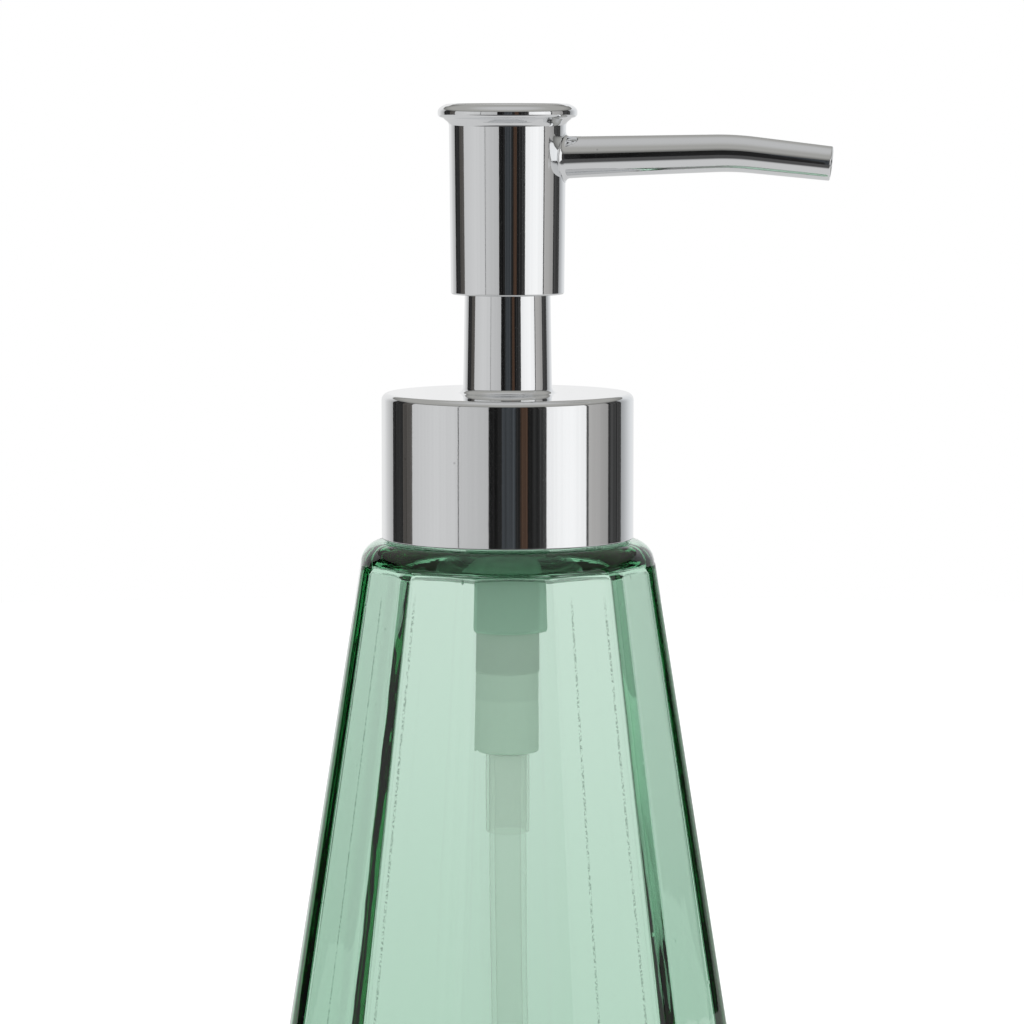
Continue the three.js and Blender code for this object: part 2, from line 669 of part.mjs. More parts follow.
// A sleeve that lines the head, and a block above it with a blind seat for the stem and a
// socket for the spout. A port joins the two.
function headCore() {
  const body = turned([
    [coreSleeveBoreRadius, headBottomZ + CORE_SLEEVE_RECESS],
    [coreSleeveRadius, headBottomZ + CORE_SLEEVE_RECESS],
    [coreSleeveRadius, coreTopZ],
    [0, coreTopZ],
    [0, stemSeatZ],
    [guideBoreRadius, stemSeatZ],
    [guideBoreRadius, coreBlockZ],
    [coreSleeveBoreRadius, coreBlockZ],
  ], LARGE);
  const beyond = headingRod(spoutSocketRadius, lipRadius);
  const middle = rod(spoutRootX - SEAT_GAP, coreBlockZ - 1, coreTopZ + 1, LARGE);
  const socket = shaped(beyond, [], [middle]);
  return shaped(body, [], [socket, headingRod(PORT_RADIUS, lipRadius)]);
}

// The spout's axis in its own upright plane: root, soft bend, tip.
function spoutPath() {
  const root = new THREE.Vector3(spoutRootX, 0, 0);
  const bend = new THREE.Vector3(SPOUT_BEND_AT, 0, SPOUT_RISE);
  const tip = new THREE.Vector3(SPOUT_REACH, 0, SPOUT_RISE - SPOUT_FALL);
  const onWay = (to) => bend.clone().add(
    to.clone().sub(bend).setLength(SPOUT_BEND_LENGTH / 2));
  const path = new THREE.CurvePath();
  path.add(new THREE.LineCurve3(root, onWay(root)));
  path.add(new THREE.QuadraticBezierCurve3(onWay(root), bend, onWay(tip)));
  path.add(new THREE.LineCurve3(onWay(tip), tip));
  return path;
}

// A tapered tube along the spout's axis. Its end lies short of the tip by recess.
function spoutTube(rootRadius, tipRadius, wall, recess, sides) {
  const path = spoutPath();
  const total = path.getLength();
  const [bendFrom, bendTo] = path.getCurveLengths().map((length) => length / total);
  const stops = [0];
  for (let i = 0; i <= ARC_STEPS; i++) {
    stops.push(THREE.MathUtils.lerp(bendFrom, bendTo, i / ARC_STEPS));
  }
  stops.push(1 - recess / total);
  const radiusAt = (t) => THREE.MathUtils.lerp(rootRadius, tipRadius, t);
  const outside = stops.map((t) => [radiusAt(t), t]);
  const inside = stops.map((t) => [radiusAt(t) - wall, t]).reverse();
  const side = new THREE.Vector3(0, 1, 0);
  const bent = alongPath(turned([...outside, ...inside], sides), (t) => {
    const share = THREE.MathUtils.clamp(t, 0, 1);
    const up = new THREE.Vector3().crossVectors(path.getTangentAt(share), side).normalize();
    return { centre: path.getPointAt(share), side, up };
  });
  return bent.rotateZ(SPOUT_HEADING).translate(0, 0, spoutZ);
}

const spout = () => spoutTube(SPOUT_ROOT_RADIUS, SPOUT_TIP_RADIUS, SPOUT_WALL, 0, SMALL);

function spoutLiner() {
  const inset = SPOUT_WALL + RUNNING_GAP;
  const rootRadius = SPOUT_ROOT_RADIUS - inset;
  return spoutTube(rootRadius, SPOUT_TIP_RADIUS - inset, LINER_WALL, LINER_RECESS, COARSE);
}

// ---- Assembly ----------------------------------------------------------------------------

const group = new THREE.Group();

function place(name, geometry, finish, parent) {
  const mesh = new THREE.Mesh(geometry, finish);
  mesh.name = name;
  parent.add(mesh);
}

const pump = new THREE.Group();
const closure = new THREE.Group();
const plunger = new THREE.Group();
group.add(pump);
pump.add(closure, plunger);

place('bottle', bottle(), greenGlass(), group);

place('collar_shell', collarShell(), chrome(), closure);
place('closure_insert', closureInsert(), whitePlastic(), closure);

place('neck_gasket', neckGasket(), softPlastic(), pump);
place('pump_housing', pumpHousing(), clearPlastic(), pump);
place('housing_cap', housingCap(), whitePlastic(), pump);
place('stem_seal', stemSeal(), softPlastic(), pump);
place('ball_cage', ballCage(), whitePlastic(), pump);
place('inlet_ball', inletBall(), steel(), pump);
place('return_spring', returnSpring(), steel(), pump);
place('dip_tube', dipTube(), clearPlastic(), pump);

place('piston', piston(), softPlastic(), plunger);
place('piston_core', pistonCore(), whitePlastic(), plunger);
place('stem', stem(), whitePlastic(), plunger);
place('head_core', headCore(), whitePlastic(), plunger);
place('head_shell', headShell(), chrome(), plunger);
place('spout', spout(), chrome(), plunger);
place('spout_liner', spoutLiner(), clearPlastic(), plunger);

export default group;
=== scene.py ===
import json
import math
from collections import namedtuple

import bmesh
import bpy
from bpy.props import FloatProperty, FloatVectorProperty, PointerProperty
from mathutils import Matrix, Vector


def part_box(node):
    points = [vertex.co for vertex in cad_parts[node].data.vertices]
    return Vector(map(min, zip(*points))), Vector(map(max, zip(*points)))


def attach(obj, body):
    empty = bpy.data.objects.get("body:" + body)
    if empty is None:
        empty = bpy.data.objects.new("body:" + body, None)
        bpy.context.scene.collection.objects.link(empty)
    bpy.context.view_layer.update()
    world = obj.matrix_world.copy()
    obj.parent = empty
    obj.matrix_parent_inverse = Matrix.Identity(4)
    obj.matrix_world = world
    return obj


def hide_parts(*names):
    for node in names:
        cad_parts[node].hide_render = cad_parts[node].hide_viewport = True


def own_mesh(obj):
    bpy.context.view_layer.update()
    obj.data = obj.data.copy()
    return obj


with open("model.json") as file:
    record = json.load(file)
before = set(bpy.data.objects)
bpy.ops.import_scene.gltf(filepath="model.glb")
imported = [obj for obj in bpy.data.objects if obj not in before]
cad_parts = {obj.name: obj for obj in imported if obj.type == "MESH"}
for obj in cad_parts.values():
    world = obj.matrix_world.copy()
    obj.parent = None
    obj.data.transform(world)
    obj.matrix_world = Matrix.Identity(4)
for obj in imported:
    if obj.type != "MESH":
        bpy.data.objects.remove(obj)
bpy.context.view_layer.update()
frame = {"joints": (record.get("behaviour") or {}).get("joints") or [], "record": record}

bl_info = {
    "name": "Soap Pump Dispenser",
    "version": (1, 0, 0),
    "blender": (4, 5, 0),
    "location": "View3D > Sidebar > Soap Pump",
    "description": "Twelve-sided green glass bottle with a chrome lotion pump, piece by piece",
    "category": "Object",
}

MM = 0.001
TURN = 2 * math.pi
UP = Vector((0, 0, 1))

# ---- Clearances and mesh steps that the pieces share --------------------------------------

SEAT_GAP = 0.15 * MM
RUNNING_GAP = 0.1 * MM
OPEN_GAP = 0.4 * MM  # between pieces that pass freely, and from a cut's end to its tool's
EDGE = 0.12 * MM  # moulded edges are never quite sharp
HEAD_SEGMENTS = 160
SEGMENTS = 128  # other round pieces that show
SPOUT_SEGMENTS = 96
FEWER_SEGMENTS = 64  # small or hidden pieces
PORT_SEGMENTS = 48
ARC_STEPS = 6
FINE_STEPS = 4  # across the small rounds of the neck
SHARP_ANGLE = math.radians(28)
WELD = 1e-7  # closer points become one

SIDES = 12  # of the glass body
FLAT_STEPS = 5  # columns across one flat
CORNER_STEPS = 6
BODY_ROWS = (0.1, 0.25, 0.45, 0.65, 0.8, 0.92, 0.985, 1.0)  # shares of the flats' height
CAVITY_ROWS = (0.03, 0.1, 0.25, 0.45, 0.65, 0.85, 1.0)  # shares of the cavity's depth

THREAD_PITCH = 4.233 * MM
THREAD_TURNS = 1.25
THREAD_HEIGHT = 1.1 * MM
THREAD_ROOT = 2.2 * MM  # along the axis, as the crest is
THREAD_CREST = 1.1 * MM
THREAD_BELOW_RIM = 2.6 * MM
THREAD_FADE = 0.35  # radians over which each end fades out
THREAD_ROW = 0.24 * MM  # spacing of the mesh rows across the thread

BODY_OF = {
    node: body for body, nodes in frame["record"]["behaviour"]["bodies"].items() for node in nodes
}
SLOT_OF = {part["node"]: part["material_slot"] for part in frame["record"]["subparts"]}


def reach(node):
    """Radius, lowest level and highest level of a round CAD node."""
    low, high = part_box(node)
    return max(high.x, high.y), low.z, high.z


def stroke():
    """How far the head is pressed down at most."""
    press = next(joint for joint in frame["joints"] if joint["name"] == "head_press")
    return max(abs(limit) for limit in press["range_m"])


# ---- Settings ----------------------------------------------------------------------------


def size(name, description, millimetres):
    return FloatProperty(
        name=name, description=description, default=millimetres * MM, min=0.0,
        unit="LENGTH", subtype="DISTANCE", precision=5)


def share(name, description, value):
    return FloatProperty(
        name=name, description=description, default=value, min=0.0, max=1.0, subtype="FACTOR")


def number(name, description, value, low=0.0):
    return FloatProperty(name=name, description=description, default=value, min=low)


def degrees(name, description, value):
    return FloatProperty(
        name=name, description=description, default=math.radians(value), subtype="ANGLE",
        unit="ROTATION")


def colour(name, description, value):
    return FloatVectorProperty(
        name=name, description=description, default=value, min=0.0, max=1.0,
        size=3, subtype="COLOR")


class SOAPPUMP_PG_glass(bpy.types.PropertyGroup):
    base_half_width: size("Base half width", "Centre to flat at the underside", 38.2)
    shoulder_half_width: size("Shoulder half width", "Centre to flat at the body's top", 18.87)
    body_height: size("Body height", "Underside to the top of the shoulder", 124)
    ring_radius: size("Shoulder ring radius", "Radius of the round shoulder", 19.45)
    shoulder_radius: size("Shoulder round", "Rounding of the shoulder's outer edge", 3.1)
    crease_drop: size("Crease drop", "Top of the shoulder down to the upper end of the flats", 2.8)
    heel_radius: size("Heel round", "Rounding of the foot", 3)
    wall_at_base: size("Wall at base", "Glass thickness at the foot", 4.6)
    wall_at_shoulder: size("Wall at shoulder", "Glass thickness at the top of the body", 2.5)
    shoulder_thickness: size("Shoulder thickness", "Glass above the cavity", 3)
    base_thickness: size("Base thickness", "Glass under the cavity", 6)
    cavity_round: size("Cavity round", "Inside corner above the base", 4)
    ceiling_round: size("Ceiling round", "Inside corner under the shoulder", 1.4)
    neck_bore: size("Neck bore", "Radius of the mouth", 10.4)
    neck_radius: size("Neck radius", "Radius of the neck between the threads", 12.55)
    rim_round: size("Rim round", "Rounding of the rim", 0.5)
    outer_corner: share("Outer corner round", "Corner round, as a share of the half width", 0.25)
    inner_corner: share("Inner corner round", "The same for the cavity's corners", 0.1)
    shoulder_roundness: share("Shoulder roundness", "How round the shoulder is at the crease", 0.6)
    tint: colour("Tint", "What the glass lets through", (0.027, 0.62, 0.285))
    density: number("Density", "How strongly the glass colours light, per metre", 81.0)
    mark_tone: colour("Mark tone", "The dotted upright marks from the mould", (0.30, 0.33, 0.31))


class SOAPPUMP_PG_closure(bpy.types.PropertyGroup):
    shell_wall: size("Shell wall", "Thickness of the plated shells", 0.6)
    collar_round: size("Collar round", "Rounding of the collar's upper edge", 0.9)
    chimney_radius: size("Chimney radius", "Radius of the chimney's upper end", 5.6)
    chimney_draft: size("Chimney draft", "How much wider the chimney's foot is", 0.25)
    chimney_round: size("Chimney round", "Fillet at the chimney's foot", 0.85)
    insert_wall: size("Insert wall", "Wall behind the thread", 1.8)
    insert_top: size("Insert top", "Thickness of the insert's top", 1.2)
    insert_hole: size("Insert hole", "Radius of the hole in the insert's top", 7.35)
    gasket_bore: size("Gasket bore", "Radius of the washer's hole", 10.0)


class SOAPPUMP_PG_head(bpy.types.PropertyGroup):
    draft: size("Head draft", "How much wider the head's upper end is", 0.24)
    overhang: size("Lip overhang", "Lip beyond the cylinder", 1.47)
    lip_thickness: size("Lip thickness", "Height of the rounded lip", 1.75)
    lip_round: size("Lip round", "Rounding of the lip's upper edge", 0.85)
    flare_height: size("Flare height", "Height of the hollow flare under the lip", 0.9)
    dish_depth: size("Dish depth", "Hollow of the press face", 0.6)
    top_wall: size("Top wall", "Thickness under the press face", 1.1)
    sleeve_bore: size("Sleeve bore", "Inside of the core's sleeve, round the chimney", 6.05)


class SOAPPUMP_PG_spout(bpy.types.PropertyGroup):
    heading: degrees("Heading", "Turn of the spout about the pump's axis", -8.5)
    below_top: size("Below top", "Spout's axis at its root, under the head's top", 7.15)
    length: size("Length", "Pump's axis to the tip", 42.4)
    bend_at: size("Bend at", "Where the straight runs would meet", 29.7)
    bend_length: size("Bend length", "Length over which the spout bends", 5)
    rise: size("Rise", "From root to bend", 0.72)
    fall: size("Fall", "From bend to tip", 1.38)
    root_radius: size("Root radius", "Radius where the spout leaves the head", 2.76)
    tip_radius: size("Tip radius", "Radius at the tip", 2.25)
    wall: size("Wall", "Wall of the plated tube", 0.45)
    liner_wall: size("Liner wall", "Wall of the liner", 0.5)
    liner_recess: size("Liner recess", "Liner's end inside the tip", 0.35)
    port_radius: size("Port radius", "Radius of the port between stem and spout", 1.35)
    root_fillet: size("Root fillet", "Fillet between spout and head", 0.55)
    root_inset: size("Root inset", "How far the spout's tube enters the head", 2.3)


class SOAPPUMP_PG_pump(bpy.types.PropertyGroup):
    barrel_radius: size("Barrel radius", "Outside of the barrel", 5.55)
    barrel_wall: size("Barrel wall", "Wall of the barrel", 0.85)
    barrel_low: size("Barrel low", "Level where the barrel steps down to the chamber", 111.8)
    barrel_floor: size("Barrel floor", "Thickness of that step", 1.0)
    chamber_radius: size("Chamber radius", "Outside of the spring chamber", 4.05)
    chamber_wall: size("Chamber wall", "Wall of the spring chamber", 0.85)
    band_radius: size("Band radius", "Outside of the stouter band", 4.17)
    band_low: size("Band low", "Level where the band ends", 106.4)
    seat_radius: size("Seat radius", "Hole under the ball", 1.3)
    socket_radius: size("Socket radius", "Outside of the dip tube's socket", 2.85)
    tube_wall: size("Dip tube wall", "Wall of the dip tube", 0.7)
    tube_drift: size("Dip tube drift", "Sideways lean at its lower end", 1.3)
    stem_wall: size("Stem wall", "Wall of the stem", 1.2)
    guide_wall: size("Guide wall", "Wall of the tube that guides the stem", 1.35)
    plug_radius: size("Plug radius", "Cap's plug in the barrel", 4.55)
    cage_wall: size("Cage wall", "Wall of the ball's cage", 0.75)
    wire: size("Spring wire", "Diameter of the spring's wire", 0.6)
    coil_radius: size("Coil radius", "Axis to the middle of the wire", 2.5)
    spring_turns: number("Spring turns", "Open turns of the spring", 9.0, 1.0)


class SOAPPUMP_PG_finishes(bpy.types.PropertyGroup):
    chrome: colour("Chrome", "Plated shells and spout", (0.86, 0.87, 0.88))
    white_plastic: colour("White plastic", "Moulded plastic inside", (0.88, 0.88, 0.86))
    clear_plastic: colour("Clear plastic", "Natural plastic of the housing", (0.93, 1.0, 0.93))
    tube_plastic: colour("Tube plastic", "The dip tube and its socket", (1.0, 1.0, 0.96))
    # Darker than the chamber's plastic: painted shade, for the collar's shadow and the barrel's
    # dark inside
    barrel_plastic: colour("Barrel plastic", "The housing's thick upper part", (0.57, 0.74, 0.64))
    liner_plastic: colour("Liner plastic", "Liner of the spout", (0.90, 0.90, 0.88))
    soft_plastic: colour("Soft plastic", "Piston and seals", (0.80, 0.81, 0.79))
    steel: colour("Steel", "Spring and ball", (0.62, 0.62, 0.63))
    thick_cover: share("Cover of thick walls", "How much a thick natural wall hides", 0.88)
    chamber_cover: share("Cover of the chamber", "How much the chamber's wall hides", 0.94)
    thin_cover: share("Cover of thin walls", "How much a thin natural wall hides", 0.14)


class SOAPPUMP_PG_studio(bpy.types.PropertyGroup):
    camera_distance: size("Camera distance", "Camera to the pump's axis", 620)
    camera_height: size("Camera height", "Camera above the floor", 188.5)
    camera_shift: size("Camera offset", "Camera to the right of the axis", 0.58)
    camera_turn: degrees("Camera turn", "Camera's place round the object", -1.8)
    camera_tilt: degrees("Camera tilt", "How far the camera looks down", 5.6)
    focal_length: number("Focal length", "Camera lens in millimetres", 165.97, 1.0)
    ring_radius: size("Card distance", "Distance of the reflection cards", 1000)
    plain_level: share("Plain level", "World light on matt surfaces", 0.82)
    sky_level: share("Sky level", "What metal mirrors overhead", 0.5)
    through_level: share("Through level", "White seen through glass and plastic", 1.0)


class SOAPPUMP_PG_settings(bpy.types.PropertyGroup):
    glass: PointerProperty(type=SOAPPUMP_PG_glass)
    closure: PointerProperty(type=SOAPPUMP_PG_closure)
    head: PointerProperty(type=SOAPPUMP_PG_head)
    spout: PointerProperty(type=SOAPPUMP_PG_spout)
    pump: PointerProperty(type=SOAPPUMP_PG_pump)
    finishes: PointerProperty(type=SOAPPUMP_PG_finishes)
    studio: PointerProperty(type=SOAPPUMP_PG_studio)


# ---- Shader expressions ------------------------------------------------------------------


class Value:
    """A socket of a shader tree. Arithmetic on it adds Math nodes."""

    def __init__(self, shader, socket):
        self.shader = shader
        self.socket = socket

    def __add__(self, other):
        return self.shader.math("ADD", self, other)

    def __sub__(self, other):
        return self.shader.math("SUBTRACT", self, other)

    def __rsub__(self, other):
        return self.shader.math("SUBTRACT", other, self)

    def __mul__(self, other):
        return self.shader.math("MULTIPLY", self, other)

    __radd__ = __add__
    __rmul__ = __mul__

    def __abs__(self):
        return self.shader.math("ABSOLUTE", self)

    def output(self, name):
        """Another output of the same node."""
        return Value(self.shader, self.socket.node.outputs[name])


class Shader:
    """A node tree that is filled by expressions."""

    def __init__(self, owner):
        owner.use_nodes = True
        self.tree = owner.node_tree
        self.tree.nodes.clear()
        self.at = None

    def node(self, kind, settings=None, sockets=None, output=0):
        """Adds one node and returns the named or numbered output."""
        made = self.tree.nodes.new("ShaderNode" + kind)
        for key, setting in (settings or {}).items():
            setattr(made, key, setting)
        for key, given in (sockets or {}).items():
            if isinstance(given, Value):
                self.tree.links.new(given.socket, made.inputs[key])
            else:
                made.inputs[key].default_value = given
        return Value(self, made.outputs[output]) if len(made.outputs) else made

    def math(self, operation, *values):
        return self.node("Math", {"operation": operation}, dict(enumerate(values)))

    def ramp(self, value, low, high, start=0.0, end=1.0):
        """Runs smoothly from start to end as the value goes from low to high."""
        return self.node(
            "MapRange", {"interpolation_type": "SMOOTHSTEP"},
            {"Value": value, "From Min": low, "From Max": high, "To Min": start, "To Max": end},
            "Result")

    def mix(self, factor, first, second):
        """A colour between two colours."""
        return self.node("Mix", {"data_type": "RGBA"}, {0: factor, 6: first, 7: second}, 2)

    def place(self):
        if self.at is None:
            self.at = self.node("TexCoord", output="Object")
        return self.at

    def stretched(self, x, y, z):
        """The place, with each direction scaled, so that a texture is drawn out."""
        return self.node("VectorMath", {"operation": "MULTIPLY"}, {0: self.place(), 1: (x, y, z)})

    def parts(self):
        """The three coordinates of the place."""
        x = self.node("SeparateXYZ", {}, {"Vector": self.place()}, "X")
        return x, x.output("Y"), x.output("Z")

    def noise(self, scale, detail=2.0, roughness=0.5, at=None):
        return self.node("TexNoise", {}, {
            "Vector": at or self.place(), "Scale": scale, "Detail": detail,
            "Roughness": roughness}, "Fac")

    def bump(self, height, strength, distance):
        return self.node("Bump", {}, {
            "Height": height, "Strength": strength, "Distance": distance}, "Normal")

    def surface(self, sockets, volume=None):
        """A Principled surface on the material output."""
        body = self.node("BsdfPrincipled", {}, sockets)
        ends = {"Surface": body}
        if volume:
            ends["Volume"] = volume
        self.node("OutputMaterial", {}, ends)


WHITE = (1.0, 1.0, 1.0)


def opaque(rgb, scale=1.0):
    return (rgb[0] * scale, rgb[1] * scale, rgb[2] * scale, 1.0)


def finish(name, fill):
    """A material by name, made once and filled by its function."""
    name = "soap_pump_" + name
    material = bpy.data.materials.get(name)
    if material is None:
        material = bpy.data.materials.new(name)
        fill(Shader(material))
    return material


# Upright dotted marks that the mould left on the glass, in degrees from its front towards +X.
CHILL_MARKS = (-57.0, -38.5, 22.5, 37.0)
MARK_SIDE = (0.1 * MM, 0.24 * MM)  # over which a mark fades out sideways
MARK_TOP = (0.119, 0.116)  # levels between which a mark begins
MARK_DEPTH = 0.8 * MM  # the marks stay this close to the outside surface


def chill_marks(shader, glass):
    """Mask of the marks, which are only on the outside surface."""
    x, y, z = shader.parts()
    angle = shader.math("ARCTAN2", y, x)
    radius = shader.math("SQRT", x * x + y * y)
    base = glass.base_half_width
    slope = (base - glass.shoulder_half_width) / glass.body_height
    flat = 360 / SIDES
    marks = 0.0
    for mark in CHILL_MARKS:
        away = abs(angle - math.radians(mark - 90)) * radius
        line = shader.ramp(away, *MARK_SIDE, 1.0, 0.0)
        to_flat = math.cos(math.radians((mark + flat / 2) % flat - flat / 2))
        outside = shader.ramp(
            radius * to_flat + z * slope, base - MARK_DEPTH, base - MARK_DEPTH / 2)
        marks = line * outside + marks
    dots = shader.ramp(shader.noise(3200.0, 2.0, 0.7), 0.42, 0.58)
    return marks * shader.ramp(z, *MARK_TOP) * dots


def green_glass(glass):
    def fill(shader):
        seeds = shader.node("TexVoronoi", {"feature": "F1"}, {
            "Vector": shader.place(), "Scale": 210.0, "Randomness": 1.0}, "Distance")
        pits = shader.ramp(seeds, 0.03, 0.07, 1.0, 0.0)
        broad = shader.noise(55.0, 1.0, 0.4)
        drawn = shader.noise(420.0, 2.0, 0.5, shader.stretched(1.0, 1.0, 0.03))
        height = broad * 0.16 + drawn * 0.03 + pits * 0.04
        tone = shader.mix(chill_marks(shader, glass), opaque(WHITE), opaque(glass.mark_tone))
        absorb = shader.node("VolumeAbsorption", {}, {
            "Color": opaque(glass.tint), "Density": glass.density})
        shader.surface({
            "Base Color": tone, "Roughness": 0.0, "IOR": 1.5, "Transmission Weight": 1.0,
            "Normal": shader.bump(height, 1.0, 0.35 * MM)}, absorb)

    return finish("green_glass", fill)


def chrome(finishes):
    def fill(shader):
        peel = shader.noise(420.0) + shader.noise(2800.0, 1.0) * 0.1
        haze = shader.noise(70.0, 3.0, 0.6)
        cells = shader.node("TexVoronoi", {"feature": "F1"}, {
            "Vector": shader.place(), "Scale": 320.0, "Randomness": 1.0}, "Distance")
        specks = shader.ramp(cells, 0.04, 0.09, 1.0, 0.0) * shader.ramp(haze, 0.5, 0.7)
        bright = opaque(finishes.chrome)
        shader.surface({
            "Base Color": shader.mix(specks, bright, opaque(finishes.chrome, 0.35)),
            "Metallic": 1.0, "Roughness": 0.03 + haze * 0.045,
            "Normal": shader.bump(peel, 0.35, 0.006 * MM)})

    return finish("chrome", fill)


def moulded(name, rgb, roughness):
    """A moulded plastic: a little uneven in colour and gloss, with a fine mould texture."""
    def fill(shader):
        flow = shader.noise(90.0, 3.0, 0.55)
        shader.surface({
            "Base Color": shader.mix(shader.ramp(flow, 0.3, 0.7), opaque(rgb), opaque(rgb, 0.93)),
            "Roughness": roughness - 0.06 + flow * 0.12,
            "Normal": shader.bump(shader.noise(2600.0), 0.25, 0.02 * MM)})

    return finish(name, fill)


def natural_plastic(finishes, pump):
    """Uncoloured plastic. The dip tube and its socket let light through, and the chamber, its
    band and the barrel hardly do. Walls look denser where they are seen edge on. The barrel's
    colour is darkened as painted shade, and its margins are lifted as painted light where
    it is seen edge on."""
    chamber_low = reach("dip_tube")[2]
    spring_low = reach("return_spring")[1]
    soft = 0.3 * MM  # over which one zone turns into the next
    thin, clear, barrel = finishes.tube_plastic, finishes.clear_plastic, finishes.barrel_plastic
    # The barrel's colour is lifted where it is seen edge on: painted light on its margins
    band_shade, painted_margin_light = 0.79, 1.2
    margin = (0.28, 0.42)  # how far from face on a barrel's margin begins and ends

    def fill(shader):
        flow = shader.noise(90.0, 3.0, 0.55)
        z = shader.parts()[2]

        def above(level):
            return shader.ramp(z, level - soft, level + soft)

        edge_on = shader.node("LayerWeight", {}, {"Blend": 0.5}, "Facing")
        cover = finishes.thin_cover + above(chamber_low) * (
            finishes.chamber_cover - finishes.thin_cover)
        cover = cover + above(spring_low) * (finishes.thick_cover - finishes.chamber_cover)
        cover = cover + shader.math("POWER", edge_on, 4.0) * (1.0 - cover) * 0.5
        chamber_tone = shader.mix(flow, opaque(clear), opaque(clear, 0.95))
        # Painted light on the barrel's margins, over its darker tone, which is painted shade
        painted_light_margins = shader.ramp(edge_on, *margin)
        shaded_barrel_tone = shader.mix(painted_light_margins, opaque(barrel), opaque(barrel, painted_margin_light))
        tone = shader.mix(above(chamber_low), opaque(thin), chamber_tone)
        tone = shader.mix(above(pump.band_low), tone, opaque(clear, band_shade))
        tone = shader.mix(above(pump.barrel_low), tone, shaded_barrel_tone)
        shader.surface({
            "Base Color": tone, "Roughness": 0.4 + flow * 0.1, "Alpha": cover, "IOR": 1.3,
            "Normal": shader.bump(shader.noise(2600.0), 0.2, 0.02 * MM)})

    return finish("clear_plastic", fill)


def steel(finishes):
    def fill(shader):
        drawn = shader.noise(1500.0, 2.0, 0.6)
        shader.surface({
            "Base Color": shader.mix(
                shader.noise(240.0), opaque(finishes.steel), opaque(finishes.steel, 0.8)),
            "Metallic": 1.0, "Roughness": 0.16 + drawn * 0.16,
            "Normal": shader.bump(drawn, 0.3, 0.01 * MM)})

    return finish("steel", fill)


def material_for(node, settings):
    """The finish of a node's material slot."""
    finishes = settings.finishes
    slot = SLOT_OF[node]
    if slot == "green_glass":
        return green_glass(settings.glass)
    if slot == "chrome":
        return chrome(finishes)
    if slot == "steel":
        return steel(finishes)
    if slot == "clear_plastic":
        return natural_plastic(finishes, settings.pump)
    roughness = {"white_plastic": 0.42, "liner_plastic": 0.4, "soft_plastic": 0.55}[slot]
    return moulded(slot, getattr(finishes, slot), roughness)


# ---- Shape helpers -----------------------------------------------------------------------


def polar(radius, angle, z=0.0):
    return Vector((radius * math.cos(angle), radius * math.sin(angle), z))


def around(segments):
    """Evenly spaced angles of a whole turn."""
    return [TURN * i / segments for i in range(segments)]


def circle(radius, z, segments):
    return [polar(radius, a, z) for a in around(segments)]


def pole(z):
    """A ring of one point, on the axis."""
    return [Vector((0, 0, z))]


def hoop(centre, side, up, radius, segments):
    """A circle about a centre, in the plane of two directions."""
    return [centre + side * (radius * math.cos(q)) + up * (radius * math.sin(q))
            for q in around(segments)]


def rounded(corners, closed):
    """An outline of (radius, level) points from corners with an optional third value, the
    radius of the arc that takes the corner's place."""
    points = []
    count = len(corners)
    for i, corner in enumerate(corners):
        here = Vector(corner[:2])
        fillet = corner[2] if len(corner) > 2 else 0.0
        if not fillet or (not closed and i in (0, count - 1)):
            points.append(here)
            continue
        before = Vector(corners[i - 1][:2]) - here
        after = Vector(corners[(i + 1) % count][:2]) - here
        half = before.angle(after) / 2
        room = 0.48 * min(before.length, after.length)  # so that two arcs can share a side
        reach_back = min(fillet / math.tan(half), room)
        fillet = reach_back * math.tan(half)
        middle = (before.normalized() + after.normalized()).normalized()
        centre = here + middle * (fillet / math.sin(half))
        start = here + before.normalized() * reach_back - centre
        end = here + after.normalized() * reach_back - centre
        swing = start.angle_signed(end)
        for step in range(ARC_STEPS + 1):
            turn = -swing * step / ARC_STEPS
            points.append(centre + Matrix.Rotation(turn, 2) @ start)
    return points


def skin(name, rings, closed=False):
    """A mesh whose surface runs from ring to ring. A ring of one point closes an end, and
    closed joins the last ring to the first."""
    mesh = bmesh.new()
    rows = [[mesh.verts.new(point) for point in ring] for ring in rings]
    for lower, upper in zip(rows, rows[1:] + (rows[:1] if closed else [])):
        count = max(len(lower), len(upper))
        for i in range(count):
            j = (i + 1) % count
            ring_corners = (lower[i % len(lower)], lower[j % len(lower)],
                            upper[j % len(upper)], upper[i % len(upper)])
            distinct = list(dict.fromkeys(ring_corners))
            if len(distinct) > 2:
                mesh.faces.new(distinct)
    bmesh.ops.remove_doubles(mesh, verts=mesh.verts, dist=WELD)
    bmesh.ops.recalc_face_normals(mesh, faces=mesh.faces)
    data = bpy.data.meshes.new(name)
    mesh.to_mesh(data)
    mesh.free()
    piece = bpy.data.objects.new(name, data)
    bpy.context.scene.collection.objects.link(piece)
    return piece


def sweep(start, end, steps):
    """Evenly spaced angles in radians, between two angles in degrees."""
    return [math.radians(start + (end - start) * i / steps) for i in range(steps + 1)]


def arc(start, end, steps, radius, level, fillet):
    """Pairs of radius and level along an arc, between two angles in degrees."""
    return [(radius + fillet * math.cos(q), level + fillet * math.sin(q))
            for q in sweep(start, end, steps)]


def turned(name, corners, segments=SEGMENTS):
    """A round piece about the pump's axis."""
    closed = min(corner[0] for corner in corners) > 0
    outline = rounded(corners, closed)
    rings = [circle(p.x, p.y, segments) if p.x > 0 else pole(p.y) for p in outline]
    return skin(name, rings, closed)


def sleeve(name, bore, radius, bottom, top, segments=SEGMENTS):
    """A plain round tube."""
    return turned(name, [
        (bore, bottom, EDGE), (radius, bottom, EDGE), (radius, top, EDGE), (bore, top, EDGE)],
        segments)


